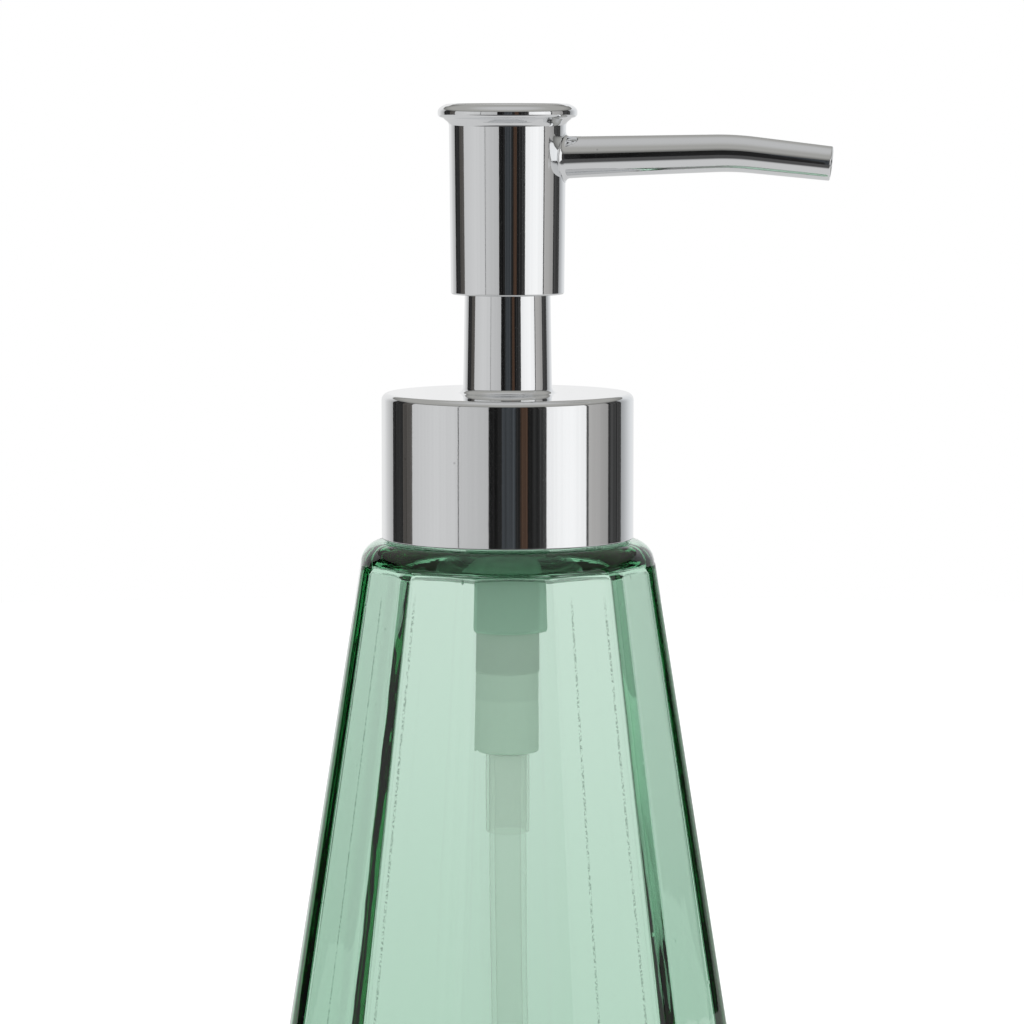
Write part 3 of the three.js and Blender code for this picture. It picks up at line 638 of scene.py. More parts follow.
def shaped(piece, tool, operation="DIFFERENCE"):
    """Cuts the tool from the piece, or joins it on, and removes the tool."""
    change = piece.modifiers.new("shape", "BOOLEAN")
    change.operation = operation
    change.solver = "EXACT"
    change.object = tool
    graph = bpy.context.evaluated_depsgraph_get()
    data = bpy.data.meshes.new_from_object(piece.evaluated_get(graph))
    piece.modifiers.clear()
    old = piece.data
    piece.data = data
    data.name = piece.name
    bpy.data.meshes.remove(old)
    bpy.data.objects.remove(tool)
    if not len(data.polygons):
        raise RuntimeError(f"{piece.name}: nothing is left of its mesh")
    return piece


def shade(piece):
    """Smooth faces with crisp edges where two faces meet at an angle."""
    mesh = bmesh.new()
    mesh.from_mesh(piece.data)
    for face in mesh.faces:
        face.smooth = True
    for edge in mesh.edges:
        edge.smooth = len(edge.link_faces) == 2 and edge.calc_face_angle(0.0) < SHARP_ANGLE
    mesh.to_mesh(piece.data)
    mesh.free()
    weighted = piece.modifiers.new("normals", "WEIGHTED_NORMAL")
    weighted.keep_sharp = True


def settle(piece, node, settings):
    """Gives a piece its finish and body, and lets it stand for its CAD node."""
    if not isinstance(piece, bpy.types.Object):
        raise RuntimeError(f"{node}: there is no piece to settle")
    shade(piece)
    piece.data.materials.clear()
    piece.data.materials.append(material_for(node, settings))
    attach(piece, BODY_OF[node])
    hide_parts(node)
    return piece


def ridge(angle, z, start):
    """Height share, 0 to 1, of the helical thread at a place on its wall."""
    best = 0.0
    run = THREAD_TURNS * TURN
    for wrap in range(int(THREAD_TURNS) + 2):
        along = angle % TURN + wrap * TURN
        fade = min(1.0, along / THREAD_FADE, (run - along) / THREAD_FADE)
        if fade <= 0.0:
            continue
        away = abs(z - start - THREAD_PITCH * along / TURN)
        rise = (THREAD_ROOT / 2 - away) / ((THREAD_ROOT - THREAD_CREST) / 2)
        rise = max(0.0, min(1.0, rise))
        best = max(best, fade * rise * rise * (3 - 2 * rise))
    return best


def thread_rows(start):
    """Levels of the mesh rows that carry a thread."""
    low = start - THREAD_ROOT / 2
    high = start + THREAD_PITCH * THREAD_TURNS + THREAD_ROOT / 2
    count = math.ceil((high - low) / THREAD_ROW)
    return [low + (high - low) * i / count for i in range(count + 1)]


# ---- Glass bottle ------------------------------------------------------------------------


def section(corner_round):
    """A twelve-sided outline with its flats at distance 1 and its corners rounded."""
    points = []
    half = math.pi / SIDES
    corner = (1 - corner_round) / math.cos(half)
    bends = []
    for side in range(SIDES):
        angle = half + side * TURN / SIDES
        bends.append([
            polar(corner, angle) + polar(corner_round, angle - half + 2 * half * i / CORNER_STEPS)
            for i in range(CORNER_STEPS + 1)])
    for bend, following in zip(bends, bends[1:] + bends[:1]):
        points += bend
        points += [bend[-1].lerp(following[0], i / FLAT_STEPS) for i in range(1, FLAT_STEPS)]
    return points


def bottle_mesh(glass):
    height = glass.body_height
    slope = (glass.base_half_width - glass.shoulder_half_width) / height
    outer = section(glass.outer_corner)
    inner = section(glass.inner_corner)
    directions = [math.atan2(p.y, p.x) for p in outer]
    rim = reach("bottle")[2]

    def half_width(z):
        return glass.base_half_width - slope * z

    def inner_half_width(z):
        wall = glass.wall_at_base + (glass.wall_at_shoulder - glass.wall_at_base) * z / height
        return half_width(z) - wall * math.hypot(1, slope)

    def flats(outline, places):
        return [[Vector((p.x * half, p.y * half, z)) for p in outline] for half, z in places]

    def rounds(places):
        return [[polar(radius, a, z) for a in directions] for radius, z in places]

    def between(outline, half, radius, roundness, z):
        """A ring between a twelve-sided outline and a circle."""
        return [polar(p.length * half * (1 - roundness) + radius * roundness,
                      math.atan2(p.y, p.x), z) for p in outline]

    # The outside, from the middle of the underside to the crease under the shoulder
    heel = glass.heel_radius
    rings = [pole(0)]
    rings += flats(outer, arc(-90, 0, ARC_STEPS, half_width(heel) - heel, heel, heel))
    crease = height - glass.crease_drop
    levels = [heel + (crease - heel) * share_up for share_up in BODY_ROWS]
    rings += flats(outer, [(half_width(z), z) for z in levels])

    # The shoulder, from twelve sides to a circle
    big = glass.shoulder_radius
    centre = height - big
    start = math.asin((crease - centre) / big)
    steps = 10
    seam = 0.04 * MM  # keeps the shoulder's first row off the flats' last one
    shoulder_pace = 1.6  # above 1, the shoulder is fully round before its top
    for i in range(steps + 1):
        along = i / steps
        q = start + (math.pi / 2 - start) * along
        radius = glass.ring_radius - big + big * math.cos(q)
        z = centre + big * math.sin(q) + (seam if i == 0 else 0.0)
        roundness = glass.shoulder_roundness + (1 - glass.shoulder_roundness) * min(
            1, shoulder_pace * along)
        flat = half_width(crease) * radius / glass.ring_radius
        rings.append(between(outer, flat, radius, roundness, z))

    # The neck, its thread and its rim
    neck, bore, soft = glass.neck_radius, glass.neck_bore, glass.rim_round
    foot = 0.5 * MM
    rings += rounds(arc(-90, -180, FINE_STEPS, neck + foot, height + foot, foot))
    thread_start = rim - THREAD_BELOW_RIM - THREAD_PITCH * THREAD_TURNS
    for z in thread_rows(thread_start):
        rings.append([
            polar(neck + THREAD_HEIGHT * ridge(a, z, thread_start), a, z) for a in directions])
    rings += rounds(arc(0, 90, FINE_STEPS, neck - soft, rim - soft, soft))
    rings += rounds(arc(90, 180, FINE_STEPS, bore + soft, rim - soft, soft))

    # The inside, down to the middle of the cavity's floor
    ceiling = height - glass.shoulder_thickness
    lip = 0.9 * MM
    rings += rounds(arc(180, 270, FINE_STEPS, bore + lip, ceiling + lip, lip))
    inside = glass.ceiling_round
    level = ceiling - inside
    ceiling_pace = 1.3  # the same for the cavity, under its ceiling
    for q in sweep(90, 0, 8):
        half = inner_half_width(level) - inside + inside * math.cos(q)
        roundness = min(1.0, ceiling_pace * (1 - math.cos(q)))
        rings.append(between(inner, half, half, roundness, level + inside * math.sin(q)))
    floor = glass.base_thickness
    corner = glass.cavity_round
    bottom = floor + corner
    levels = [level + (bottom - level) * share_down for share_down in CAVITY_ROWS]
    rings += flats(inner, [(inner_half_width(z), z) for z in levels])
    foot_of_wall = inner_half_width(bottom) - corner
    rings += flats(inner, arc(0, -90, ARC_STEPS, foot_of_wall, bottom, corner)[1:])
    return skin("glass_bottle", rings + [pole(floor)])


# ---- Closure -----------------------------------------------------------------------------


def collar_mesh(closure):
    radius, bottom, top = reach("collar_shell")
    insert_radius, _, insert_top = reach("closure_insert")
    wall = closure.shell_wall
    bore = insert_radius + SEAT_GAP
    ceiling = insert_top + SEAT_GAP
    face = ceiling + wall
    chimney = closure.chimney_radius
    return turned("chrome_collar", [
        (bore, bottom, EDGE),
        (radius, bottom, 2 * EDGE),
        (radius, face, closure.collar_round),
        (chimney + closure.chimney_draft, face, closure.chimney_round),
        (chimney, top, EDGE),
        (chimney - wall, top, EDGE),
        (chimney - wall, ceiling),
        (bore, ceiling, 3 * EDGE),
    ])


def insert_mesh(closure):
    radius, bottom, top = reach("closure_insert")
    underside = top - closure.insert_top
    bore = radius - closure.insert_wall
    hole = closure.insert_hole
    rim = reach("bottle")[2]
    start = rim - THREAD_BELOW_RIM - THREAD_PITCH * (THREAD_TURNS + 0.5)
    chamfer = closure.collar_round
    outside = rounded([
        (bore, bottom, EDGE), (radius, bottom, 2 * EDGE), (radius, top - chamfer, EDGE),
        (radius - chamfer, top, EDGE), (hole, top, EDGE), (hole, underside, EDGE),
        (bore, underside, 2 * EDGE)], True)
    rings = [circle(p.x, p.y, SEGMENTS) for p in outside]
    for z in reversed(thread_rows(start)):
        rings.append([
            polar(bore - THREAD_HEIGHT * ridge(a, z, start), a, z) for a in around(SEGMENTS)])
    return skin("threaded_insert", rings, True)


def gasket_mesh(closure):
    return sleeve("neck_washer", closure.gasket_bore, *reach("neck_gasket"))


# ---- Pump --------------------------------------------------------------------------------


def housing_mesh(pump):
    flange, bottom, top = reach("pump_housing")
    underside = reach("neck_gasket")[2] + SEAT_GAP
    socket_top = reach("dip_tube")[2] + SEAT_GAP
    seat_top = reach("ball_cage")[1] - SEAT_GAP
    step = pump.barrel_low
    floor = step + pump.barrel_floor
    barrel, chamber, band = pump.barrel_radius, pump.chamber_radius, pump.band_radius
    bore = barrel - pump.barrel_wall
    chamber_bore = chamber - pump.chamber_wall
    socket_bore = reach_tube() + RUNNING_GAP / 2
    return turned("pump_housing_body", [
        (socket_bore, bottom, EDGE),
        (pump.socket_radius, bottom, EDGE),
        (pump.socket_radius, socket_top, EDGE),
        (chamber, socket_top, 3 * EDGE),
        (chamber, pump.band_low, EDGE),
        (band, pump.band_low, EDGE),
        (band, step, EDGE),
        (barrel, step, 1.0 * MM),
        (barrel, underside, 2 * EDGE),
        (flange, underside, EDGE),
        (flange, top, EDGE),
        (bore, top, 2 * EDGE),
        (bore, floor, 3 * EDGE),
        (chamber_bore, floor, EDGE),
        (chamber_bore, seat_top, 2 * EDGE),
        (pump.seat_radius, seat_top, EDGE),
        (pump.seat_radius, socket_top, EDGE),
        (socket_bore, socket_top, EDGE),
    ])


def reach_tube():
    """Radius of the dip tube, whose lower end leans to +X."""
    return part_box("dip_tube")[1].y


def dip_tube_mesh(pump):
    _, bottom, top = reach("dip_tube")
    socket = reach("pump_housing")[1]
    radius = reach_tube()
    bore = radius - pump.tube_wall
    steps = 24

    def ring(r, z):
        below = max(0.0, socket - z) / (socket - bottom)
        drift = pump.tube_drift * below ** 2 * (2 - below)
        return [p + Vector((drift, 0, 0)) for p in circle(r, z, FEWER_SEGMENTS)]

    levels = [bottom + EDGE + (top - bottom - 2 * EDGE) * i / steps for i in range(steps + 1)]
    rings = [ring(bore + EDGE, bottom), ring(radius - EDGE, bottom)]
    rings += [ring(radius, z) for z in levels]
    rings += [ring(radius - EDGE, top), ring(bore + EDGE, top)]
    rings += [ring(bore, z) for z in reversed(levels)]
    return skin("dip_tube_pipe", rings, True)


def cap_mesh(pump):
    flange, bottom, top = reach("housing_cap")
    plug_top = reach("pump_housing")[2] + SEAT_GAP
    flange_top = reach("closure_insert")[2]
    seal_radius, _, seal_top = reach("stem_seal")
    seat = seal_top + SEAT_GAP
    seal_seat = seal_radius + RUNNING_GAP / 2
    bore = reach("stem")[0] + RUNNING_GAP
    guide = bore + pump.guide_wall
    plug = pump.plug_radius
    return turned("guide_cap", [
        (seal_seat, bottom, EDGE), (plug, bottom, 3 * EDGE), (plug, plug_top, EDGE),
        (flange, plug_top, EDGE), (flange, flange_top, EDGE), (guide, flange_top, 3 * EDGE),
        (guide, top, 2 * EDGE), (bore, top, 2 * EDGE), (bore, seat, EDGE),
        (seal_seat, seat, EDGE)])


def seal_mesh():
    radius, bottom, top = reach("stem_seal")
    bore = reach("stem")[0] + RUNNING_GAP
    relief = bore + RUNNING_GAP
    return turned("stem_lip_seal", [
        (relief, bottom, EDGE), (radius, bottom, EDGE), (radius, top, EDGE), (bore, top),
        (relief, (bottom + top) / 2, EDGE)])


def ball_mesh():
    low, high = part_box("inlet_ball")
    radius = (high.z - low.z) / 2
    centre = low.z + radius
    belt = [circle(r, z, FEWER_SEGMENTS) for r, z in arc(-90, 90, 32, 0.0, centre, radius)]
    return skin("check_ball_bead", [pole(low.z), *belt[1:-1], pole(high.z)])


def bar(name, width, depth, bottom, top):
    """A plain bar through the axis, as a tool for cutting or joining."""
    rings = [[Vector((x * width / 2, y * depth / 2, z))
              for x, y in ((-1, -1), (1, -1), (1, 1), (-1, 1))] for z in (bottom, top)]
    return skin(name, [pole(bottom), *rings, pole(top)])


def cage_mesh(pump):
    radius, bottom, top = reach("ball_cage")
    wall = pump.cage_wall
    bar_height = 0.9 * MM
    cage = sleeve("spring_seat_cage", radius - wall, radius, bottom, top, FEWER_SEGMENTS)
    length = 2 * radius - wall
    for width, depth in ((length, wall), (wall, length)):
        shaped(cage, bar("bar", width, depth, top - bar_height, top), "UNION")
    return cage


def spring_mesh(pump):
    low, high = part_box("return_spring")
    wire, mean = pump.wire / 2, pump.coil_radius
    length = high.z - low.z - 2 * wire
    end_turns = 0.9  # closed, at each end
    turns = pump.spring_turns + 2 * end_turns
    closed_rise = end_turns * (2 * wire + RUNNING_GAP)
    per_turn = 36
    wire_segments = 12

    def level(turn):
        if turn < end_turns:
            return turn / end_turns * closed_rise
        if turn > turns - end_turns:
            return length - (turns - turn) / end_turns * closed_rise
        return closed_rise + (turn - end_turns) / pump.spring_turns * (length - 2 * closed_rise)

    centres, rings = [], []
    steps = round(turns * per_turn)
    for i in range(steps + 1):
        turn = turns * i / steps
        radial = polar(1.0, turn * TURN)
        centres.append(radial * mean + Vector((0, 0, low.z + wire + level(turn))))
        rings.append(hoop(centres[-1], radial, UP, wire, wire_segments))
    return skin("coil_spring", [centres[:1], *rings, centres[-1:]])


# ---- Plunger and head --------------------------------------------------------------------


def heading_rod(name, radius, start, end, settings):
    """A rod along the spout's heading, as a tool for cutting ports."""
    spout = settings.spout
    level = reach("head_shell")[2] - spout.below_top
    along = polar(1.0, spout.heading)
    side = Vector((-along.y, along.x, 0))

    def ring(distance):
        return [along * distance + side * (radius * math.cos(q)) +
                UP * (level + radius * math.sin(q)) for q in around(PORT_SEGMENTS)]

    ends = [[along * d + UP * level] for d in (start, end)]
    return skin(name, [ends[0], ring(start), ring(end), ends[1]])


def stem_mesh(settings):
    radius, bottom, top = reach("stem")
    bore = radius - settings.pump.stem_wall
    pipe = turned("plunger_stem", [
        (bore, bottom, EDGE), (radius, bottom, 2 * EDGE), (radius, top, 2 * EDGE),
        (bore, top, EDGE)])
    port = heading_rod("port", settings.spout.port_radius, 0.0, radius + OPEN_GAP, settings)
    return shaped(pipe, port)


def piston_mesh():
    radius, bottom, top = reach("piston")
    relief = 0.7 * MM
    waist = radius - relief
    lip = 1.4 * MM
    slant = lip + relief
    bore = 2.2 * MM
    return turned("sliding_piston_seal", [
        (bore, bottom, EDGE), (radius, bottom, 2 * EDGE), (radius, bottom + lip, EDGE),
        (waist, bottom + slant, 3 * EDGE), (waist, top - slant, 3 * EDGE),
        (radius, top - lip, EDGE), (radius, top, 2 * EDGE), (bore, top, EDGE)])


def core_mesh():
    radius, bottom, top = reach("piston_core")
    pilot, pilot_length = 1.9 * MM, 3.5 * MM
    disc_bottom = bottom + pilot_length
    disc_top = disc_bottom + 1.5 * MM
    shank = 2.1 * MM
    flat_depth = 0.6 * MM  # soap passes between the flat and the stem's bore
    core = turned("piston_plug", [
        (0, bottom), (pilot, bottom, 3 * EDGE), (pilot, disc_bottom, EDGE),
        (radius, disc_bottom, 2 * EDGE), (radius, disc_top, 2 * EDGE), (shank, disc_top, EDGE),
        (shank, top, 2 * EDGE), (0, top)], FEWER_SEGMENTS)
    flat = bar("flat", 2 * flat_depth, 2 * radius + RUNNING_GAP * 2, disc_top + RUNNING_GAP,
               top + OPEN_GAP)
    flat.data.transform(Matrix.Translation((shank, 0, 0)))
    return shaped(core, flat)


def head_mesh(settings):
    head, spout = settings.head, settings.spout
    lip_radius, bottom, top = reach("head_shell")
    cylinder_top = lip_radius - head.overhang
    cylinder = cylinder_top - head.draft
    bore = reach("head_core")[0] + SEAT_GAP
    underside = top - head.lip_thickness
    flare = head.flare_height
    dish = top - head.dish_depth
    ceiling = dish - head.top_wall
    lip = lip_radius - cylinder_top
    shoulder = head.lip_round
    tight, soft, wide = 0.5 * MM, 0.6 * MM, 0.8 * MM  # arcs between the outline's corners
    inside = [(0, ceiling), (bore, ceiling, 3 * EDGE), (bore, bottom, EDGE)]
    flank = [(cylinder, bottom, 2 * EDGE), (cylinder_top, underside - flare, wide)]
    lip_outline = [
        (cylinder_top + 0.55 * lip, underside - 0.27 * flare, soft),
        (lip_radius, underside, tight),
        (lip_radius, top - shoulder, shoulder),
        (lip_radius - 0.58 * shoulder, top - 0.5 * shoulder, shoulder),
        (lip_radius - 1.65 * shoulder, top, soft)]
    face = [(cylinder_top - soft, dish, wide), (0, dish)]
    shell = turned("chrome_head", inside + flank + lip_outline + face, HEAD_SEGMENTS)
    gap_radius = spout.root_radius + SEAT_GAP
    return shaped(shell, heading_rod("socket", gap_radius, 0.0, lip_radius, settings))


def head_core_mesh(settings):
    radius, bottom, top = reach("head_core")
    stem, _, stem_top = reach("stem")
    sleeve_bore = settings.head.sleeve_bore
    block = reach("collar_shell")[2] + stroke() + OPEN_GAP  # clears the chimney when pressed
    bore = stem + RUNNING_GAP
    seat = stem_top + SEAT_GAP
    core = turned("head_core_block", [
        (0, seat), (bore, seat, EDGE), (bore, block, 2 * EDGE), (sleeve_bore, block, 3 * EDGE),
        (sleeve_bore, bottom, EDGE), (radius, bottom, EDGE), (radius, top, 3 * EDGE), (0, top)])
    spout = settings.spout
    root = spout_root(settings)
    gap_radius, past = spout.root_radius + SEAT_GAP, radius + 1.0 * MM
    shaped(core, heading_rod("socket", gap_radius, root - SEAT_GAP, past, settings))
    return shaped(core, heading_rod("port", spout.port_radius, 0.0, root, settings))


def spout_root(settings):
    """Where the spout's tube begins, inside the head."""
    return reach("head_shell")[0] - settings.head.overhang - settings.spout.root_inset


Station = namedtuple("Station", "along centre side up tangent")


def spout_stations(settings):
    """Places along the spout's axis, with the two directions across it at each."""
    spout = settings.spout
    steps = 14  # for each straight run and for the bend
    level = reach("head_shell")[2] - spout.below_top
    turn = Matrix.Rotation(spout.heading, 3, "Z")
    root = Vector((spout_root(settings), 0, 0))
    bend = Vector((spout.bend_at, 0, spout.rise))
    tip = Vector((spout.length, 0, spout.rise - spout.fall))
    start = bend + (root - bend).normalized() * spout.bend_length / 2
    end = bend + (tip - bend).normalized() * spout.bend_length / 2
    points = [root.lerp(start, i / steps) for i in range(steps)]
    for i in range(steps + 1):
        t = i / steps
        points.append(start.lerp(bend, t).lerp(bend.lerp(end, t), t))
    points += [end.lerp(tip, i / steps) for i in range(1, steps + 1)]
    stations = []
    along = 0.0
    for i, point in enumerate(points):
        before = points[max(0, i - 1)]
        after = points[min(len(points) - 1, i + 1)]
        along += (point - before).length
        tangent = (after - before).normalized()
        side = Vector((0, 1, 0))
        up = tangent.cross(side)
        centre = turn @ point + Vector((0, 0, level))
        stations.append(Station(along, centre, turn @ side, turn @ up, turn @ tangent))
    return stations


def spout_radius(spout, stations):
    """The spout's outside as a function of the distance along it."""
    total = stations[-1].along
    return lambda along: spout.root_radius + (
        spout.tip_radius - spout.root_radius) * along / total


def across(station, radius):
    return hoop(station.centre, station.side, station.up, radius, SPOUT_SEGMENTS)


def spout_mesh(settings):
    """The plated tube, with a fillet where it leaves the head and a rounded tip."""
    spout = settings.spout
    stations = spout_stations(settings)
    outside = spout_radius(spout, stations)
    wall_radius = reach("head_shell")[0] - settings.head.overhang
    level = stations[0].centre.z
    along = polar(1.0, spout.heading)
    side = Vector((-along.y, along.x, 0))
    fillet = spout.root_fillet
    root = spout_root(settings)
    slope = spout.rise / (spout.bend_at - root)

    def saddle(offset, grown):
        """A ring round the spout that keeps its distance from the head's wall."""
        ring = []
        for q in around(SPOUT_SEGMENTS):
            sideways = (spout.root_radius + grown) * math.cos(q)
            up = (spout.root_radius + grown) * math.sin(q)
            out = math.sqrt(max(0.0, (wall_radius + offset) ** 2 - sideways ** 2))
            rise = slope * (out - root)
            ring.append(along * out + side * sideways + Vector((0, 0, level + up + rise)))
        return ring

    def tip_round(start, end, edge, radius):
        """Rings that round one edge of the tip."""
        tip = stations[-1]
        return [
            across(tip._replace(centre=tip.centre - tip.tangent * (edge - edge * math.sin(q))),
                   radius + edge * math.cos(q))
            for q in sweep(start, end, 5)]

    inside_wall, sunk_edge = -0.5 * MM, -0.06 * MM
    rings = [across(stations[0], spout.root_radius - spout.wall),
             across(stations[0], spout.root_radius)]
    rings += [saddle(inside_wall, 0.0), saddle(sunk_edge, fillet)]
    rings += [saddle(offset, grown) for grown, offset in arc(-90, -180, 8, fillet, fillet, fillet)]
    clear = wall_radius + fillet + OPEN_GAP
    rings += [across(station, outside(station.along)) for station in stations[:-1]
              if station.centre.xy.length > clear]
    tip_radius = outside(stations[-1].along)
    edge = 0.2 * MM
    inner_edge = 0.6 * edge
    rings += tip_round(0, 90, edge, tip_radius - edge)
    rings += tip_round(90, 180, inner_edge, tip_radius - spout.wall + inner_edge)
    rings += [across(station, outside(station.along) - spout.wall)
              for station in reversed(stations[1:-1])]
    return skin("chrome_spout", rings, True)


def liner_mesh(settings):
    spout = settings.spout
    stations = spout_stations(settings)
    outside = spout_radius(spout, stations)
    inset = spout.wall + RUNNING_GAP
    tip = stations[-1]
    end = tip._replace(centre=tip.centre - tip.tangent * spout.liner_recess)
    run = [station for station in stations[:-1]
           if tip.along - station.along > spout.liner_recess + EDGE] + [end]
    rings = [across(station, outside(station.along) - inset) for station in run]
    rings += [across(station, outside(station.along) - inset - spout.liner_wall)
              for station in reversed(run)]
    return skin("spout_liner_tube", rings, True)


# ---- Operators ---------------------------------------------------------------------------


class SOAPPUMP_OT_stage(bpy.types.Operator):
    """Set up the floor, the reflection cards, the light and the camera"""
    bl_idname = "soap_pump.stage"
    bl_label = "Stage"

    def execute(self, context):
        build_stage(context.scene.soap_pump.studio)
        return {"FINISHED"}


class SOAPPUMP_OT_bottle(bpy.types.Operator):
    """Build the twelve-sided glass bottle with its cavity and threaded neck"""
    bl_idname = "soap_pump.bottle"
    bl_label = "Glass Bottle"

    def execute(self, context):
        settings = context.scene.soap_pump
        settle(bottle_mesh(settings.glass), "bottle", settings)
        return {"FINISHED"}


class SOAPPUMP_OT_closure(bpy.types.Operator):
    """Build the chrome collar, the threaded insert and the washer"""
    bl_idname = "soap_pump.closure"
    bl_label = "Closure"

    def execute(self, context):
        settings = context.scene.soap_pump
        settle(collar_mesh(settings.closure), "collar_shell", settings)
        settle(insert_mesh(settings.closure), "closure_insert", settings)
        settle(gasket_mesh(settings.closure), "neck_gasket", settings)
        return {"FINISHED"}


class SOAPPUMP_OT_housing(bpy.types.Operator):
    """Build the pump housing with its guide cap and stem seal"""
    bl_idname = "soap_pump.housing"
    bl_label = "Pump Housing"

    def execute(self, context):
        settings = context.scene.soap_pump
        settle(housing_mesh(settings.pump), "pump_housing", settings)
        settle(cap_mesh(settings.pump), "housing_cap", settings)
        settle(seal_mesh(), "stem_seal", settings)
        return {"FINISHED"}


class SOAPPUMP_OT_dip_tube(bpy.types.Operator):
    """Build the dip tube"""
    bl_idname = "soap_pump.dip_tube"
    bl_label = "Dip Tube"

    def execute(self, context):
        settings = context.scene.soap_pump
        settle(dip_tube_mesh(settings.pump), "dip_tube", settings)
        return {"FINISHED"}


class SOAPPUMP_OT_valve(bpy.types.Operator):
    """Build the check ball and its cage"""
    bl_idname = "soap_pump.valve"
    bl_label = "Check Valve"

    def execute(self, context):
        settings = context.scene.soap_pump
        settle(ball_mesh(), "inlet_ball", settings)
        settle(cage_mesh(settings.pump), "ball_cage", settings)
        return {"FINISHED"}


class SOAPPUMP_OT_spring(bpy.types.Operator):
    """Build the return spring"""
    bl_idname = "soap_pump.spring"
    bl_label = "Return Spring"

    def execute(self, context):
        settings = context.scene.soap_pump
        spring = settle(spring_mesh(settings.pump), "return_spring", settings)
        low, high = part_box("return_spring")
        keep = 1 - stroke() / (high.z - low.z)
        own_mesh(spring)
        return {"FINISHED"}


class SOAPPUMP_OT_plunger(bpy.types.Operator):
    """Build the stem, the sliding piston and its core"""
    bl_idname = "soap_pump.plunger"
    bl_label = "Plunger"

    def execute(self, context):
        settings = context.scene.soap_pump
        settle(stem_mesh(settings), "stem", settings)
        settle(piston_mesh(), "piston", settings)
        settle(core_mesh(), "piston_core", settings)
        return {"FINISHED"}


class SOAPPUMP_OT_head(bpy.types.Operator):
    """Build the chrome press head and the core inside it"""
    bl_idname = "soap_pump.head"
    bl_label = "Press Head"

    def execute(self, context):
        settings = context.scene.soap_pump
        settle(head_mesh(settings), "head_shell", settings)
        settle(head_core_mesh(settings), "head_core", settings)
        return {"FINISHED"}


class SOAPPUMP_OT_spout(bpy.types.Operator):
    """Build the chrome spout and its liner"""
    bl_idname = "soap_pump.spout"
    bl_label = "Spout"

    def execute(self, context):
        settings = context.scene.soap_pump
        settle(spout_mesh(settings), "spout", settings)
        settle(liner_mesh(settings), "spout_liner", settings)
        return {"FINISHED"}


# ---- Stage -------------------------------------------------------------------------------

FRONT_CARD = 0.5  # heights of the cards, in metres
BACK_CARD = 0.55
BEHIND = 0.86  # what the glass shows of the white behind the object
SKY_TINT = (1.01, 1.0, 0.955)


def grey(level, warmth=0.0):
    return (level * (1 + warmth), level, level * (1 - warmth))


def dusk(level):
    """A dark green, for the dark cards as they look through the glass."""
    return (level * 0.9, level * 2.4, level * 1.4)


def front(first, last, start, end):
    """A card beside or behind the camera, which is white through the glass."""
    return first, last, start, end, FRONT_CARD, grey(1.0)


COPPER_DARK = (0.058, 0.036, 0.025)
COPPER_PALE = (0.09, 0.053, 0.036)

# Reflection cards round the object: from and to, in degrees from the camera towards +X,
# the card's tone at both ends, its height, and its tone through glass and plastic.
CARDS = (
    (-179, -153, grey(0.88), grey(0.83), BACK_CARD, grey(BEHIND)),
    (-153, -128.5, grey(0.85), grey(0.42), BACK_CARD, grey(0.7)),
    (-128.5, -110, grey(0.03), grey(0.025), BACK_CARD, dusk(0.04)),
    (-110, -96.5, grey(0.065, 0.08), grey(0.075, 0.06), FRONT_CARD, dusk(0.08)),
    front(-96.5, -67, grey(0.6), grey(0.665)),
    front(-67, -45.6, grey(0.665), grey(0.62)),
    front(-45.6, -44.6, grey(0.12), grey(0.12)),
    front(-44.6, -17, grey(0.57), grey(0.515)),
    front(-17, -5, grey(0.011), grey(0.013)),
    front(-5, 7.5, grey(0.048, -0.1), grey(0.062, -0.1)),
    front(7.5, 11.5, grey(0.02), grey(0.02)),
    front(11.5, 18, COPPER_DARK, COPPER_PALE),
    front(18, 35.4, grey(0.014), grey(0.045)),
    front(35.4, 58, grey(0.94), grey(1.05)),
    front(58, 76, grey(1.05), grey(0.96)),
    front(76, 78.6, grey(0.1), grey(0.1)),
    front(78.6, 93, grey(0.45, 0.02), grey(0.41, 0.02)),
    front(93, 104, grey(0.39, 0.02), grey(0.33, 0.02)),
    (104, 126, grey(0.05), grey(0.06), BACK_CARD, dusk(0.05)),
    (126, 151, grey(0.36, -0.02), grey(0.78, -0.02), BACK_CARD, grey(0.6)),
    (151, 181, grey(0.78, -0.02), grey(0.9), BACK_CARD, grey(BEHIND)),
)


def levels(shader, plain, mirrored, through):
    """White for the camera, and another tone for each other kind of ray that asks for it."""
    camera = shader.node("LightPath", output="Is Camera Ray")
    tone = shader.mix(camera.output("Is Glossy Ray"), plain, mirrored)
    tone = shader.mix(camera.output("Is Transmission Ray"), tone, through)
    return shader.mix(camera, tone, opaque(WHITE))


def build_world(studio):
    world = bpy.data.worlds.new("studio")
    bpy.context.scene.world = world
    shader = Shader(world)
    way = shader.node("TexCoord", output="Generated")
    up = shader.node("SeparateXYZ", {}, {"Vector": way}, "Z")
    sky = shader.mix(shader.ramp(up, 0.26, 0.6), opaque(SKY_TINT, 0.25 * studio.sky_level),
                     opaque(SKY_TINT, 0.8 * studio.sky_level))
    sky = shader.mix(shader.ramp(up, 0.75, 1.0), sky, opaque(WHITE, 1.1 * studio.sky_level))
    tone = levels(shader, opaque(WHITE, studio.plain_level), sky,
                  opaque(WHITE, studio.through_level))
    back = shader.node("Background", {}, {"Color": tone, "Strength": 1.0})
    shader.node("OutputWorld", {}, {"Surface": back})


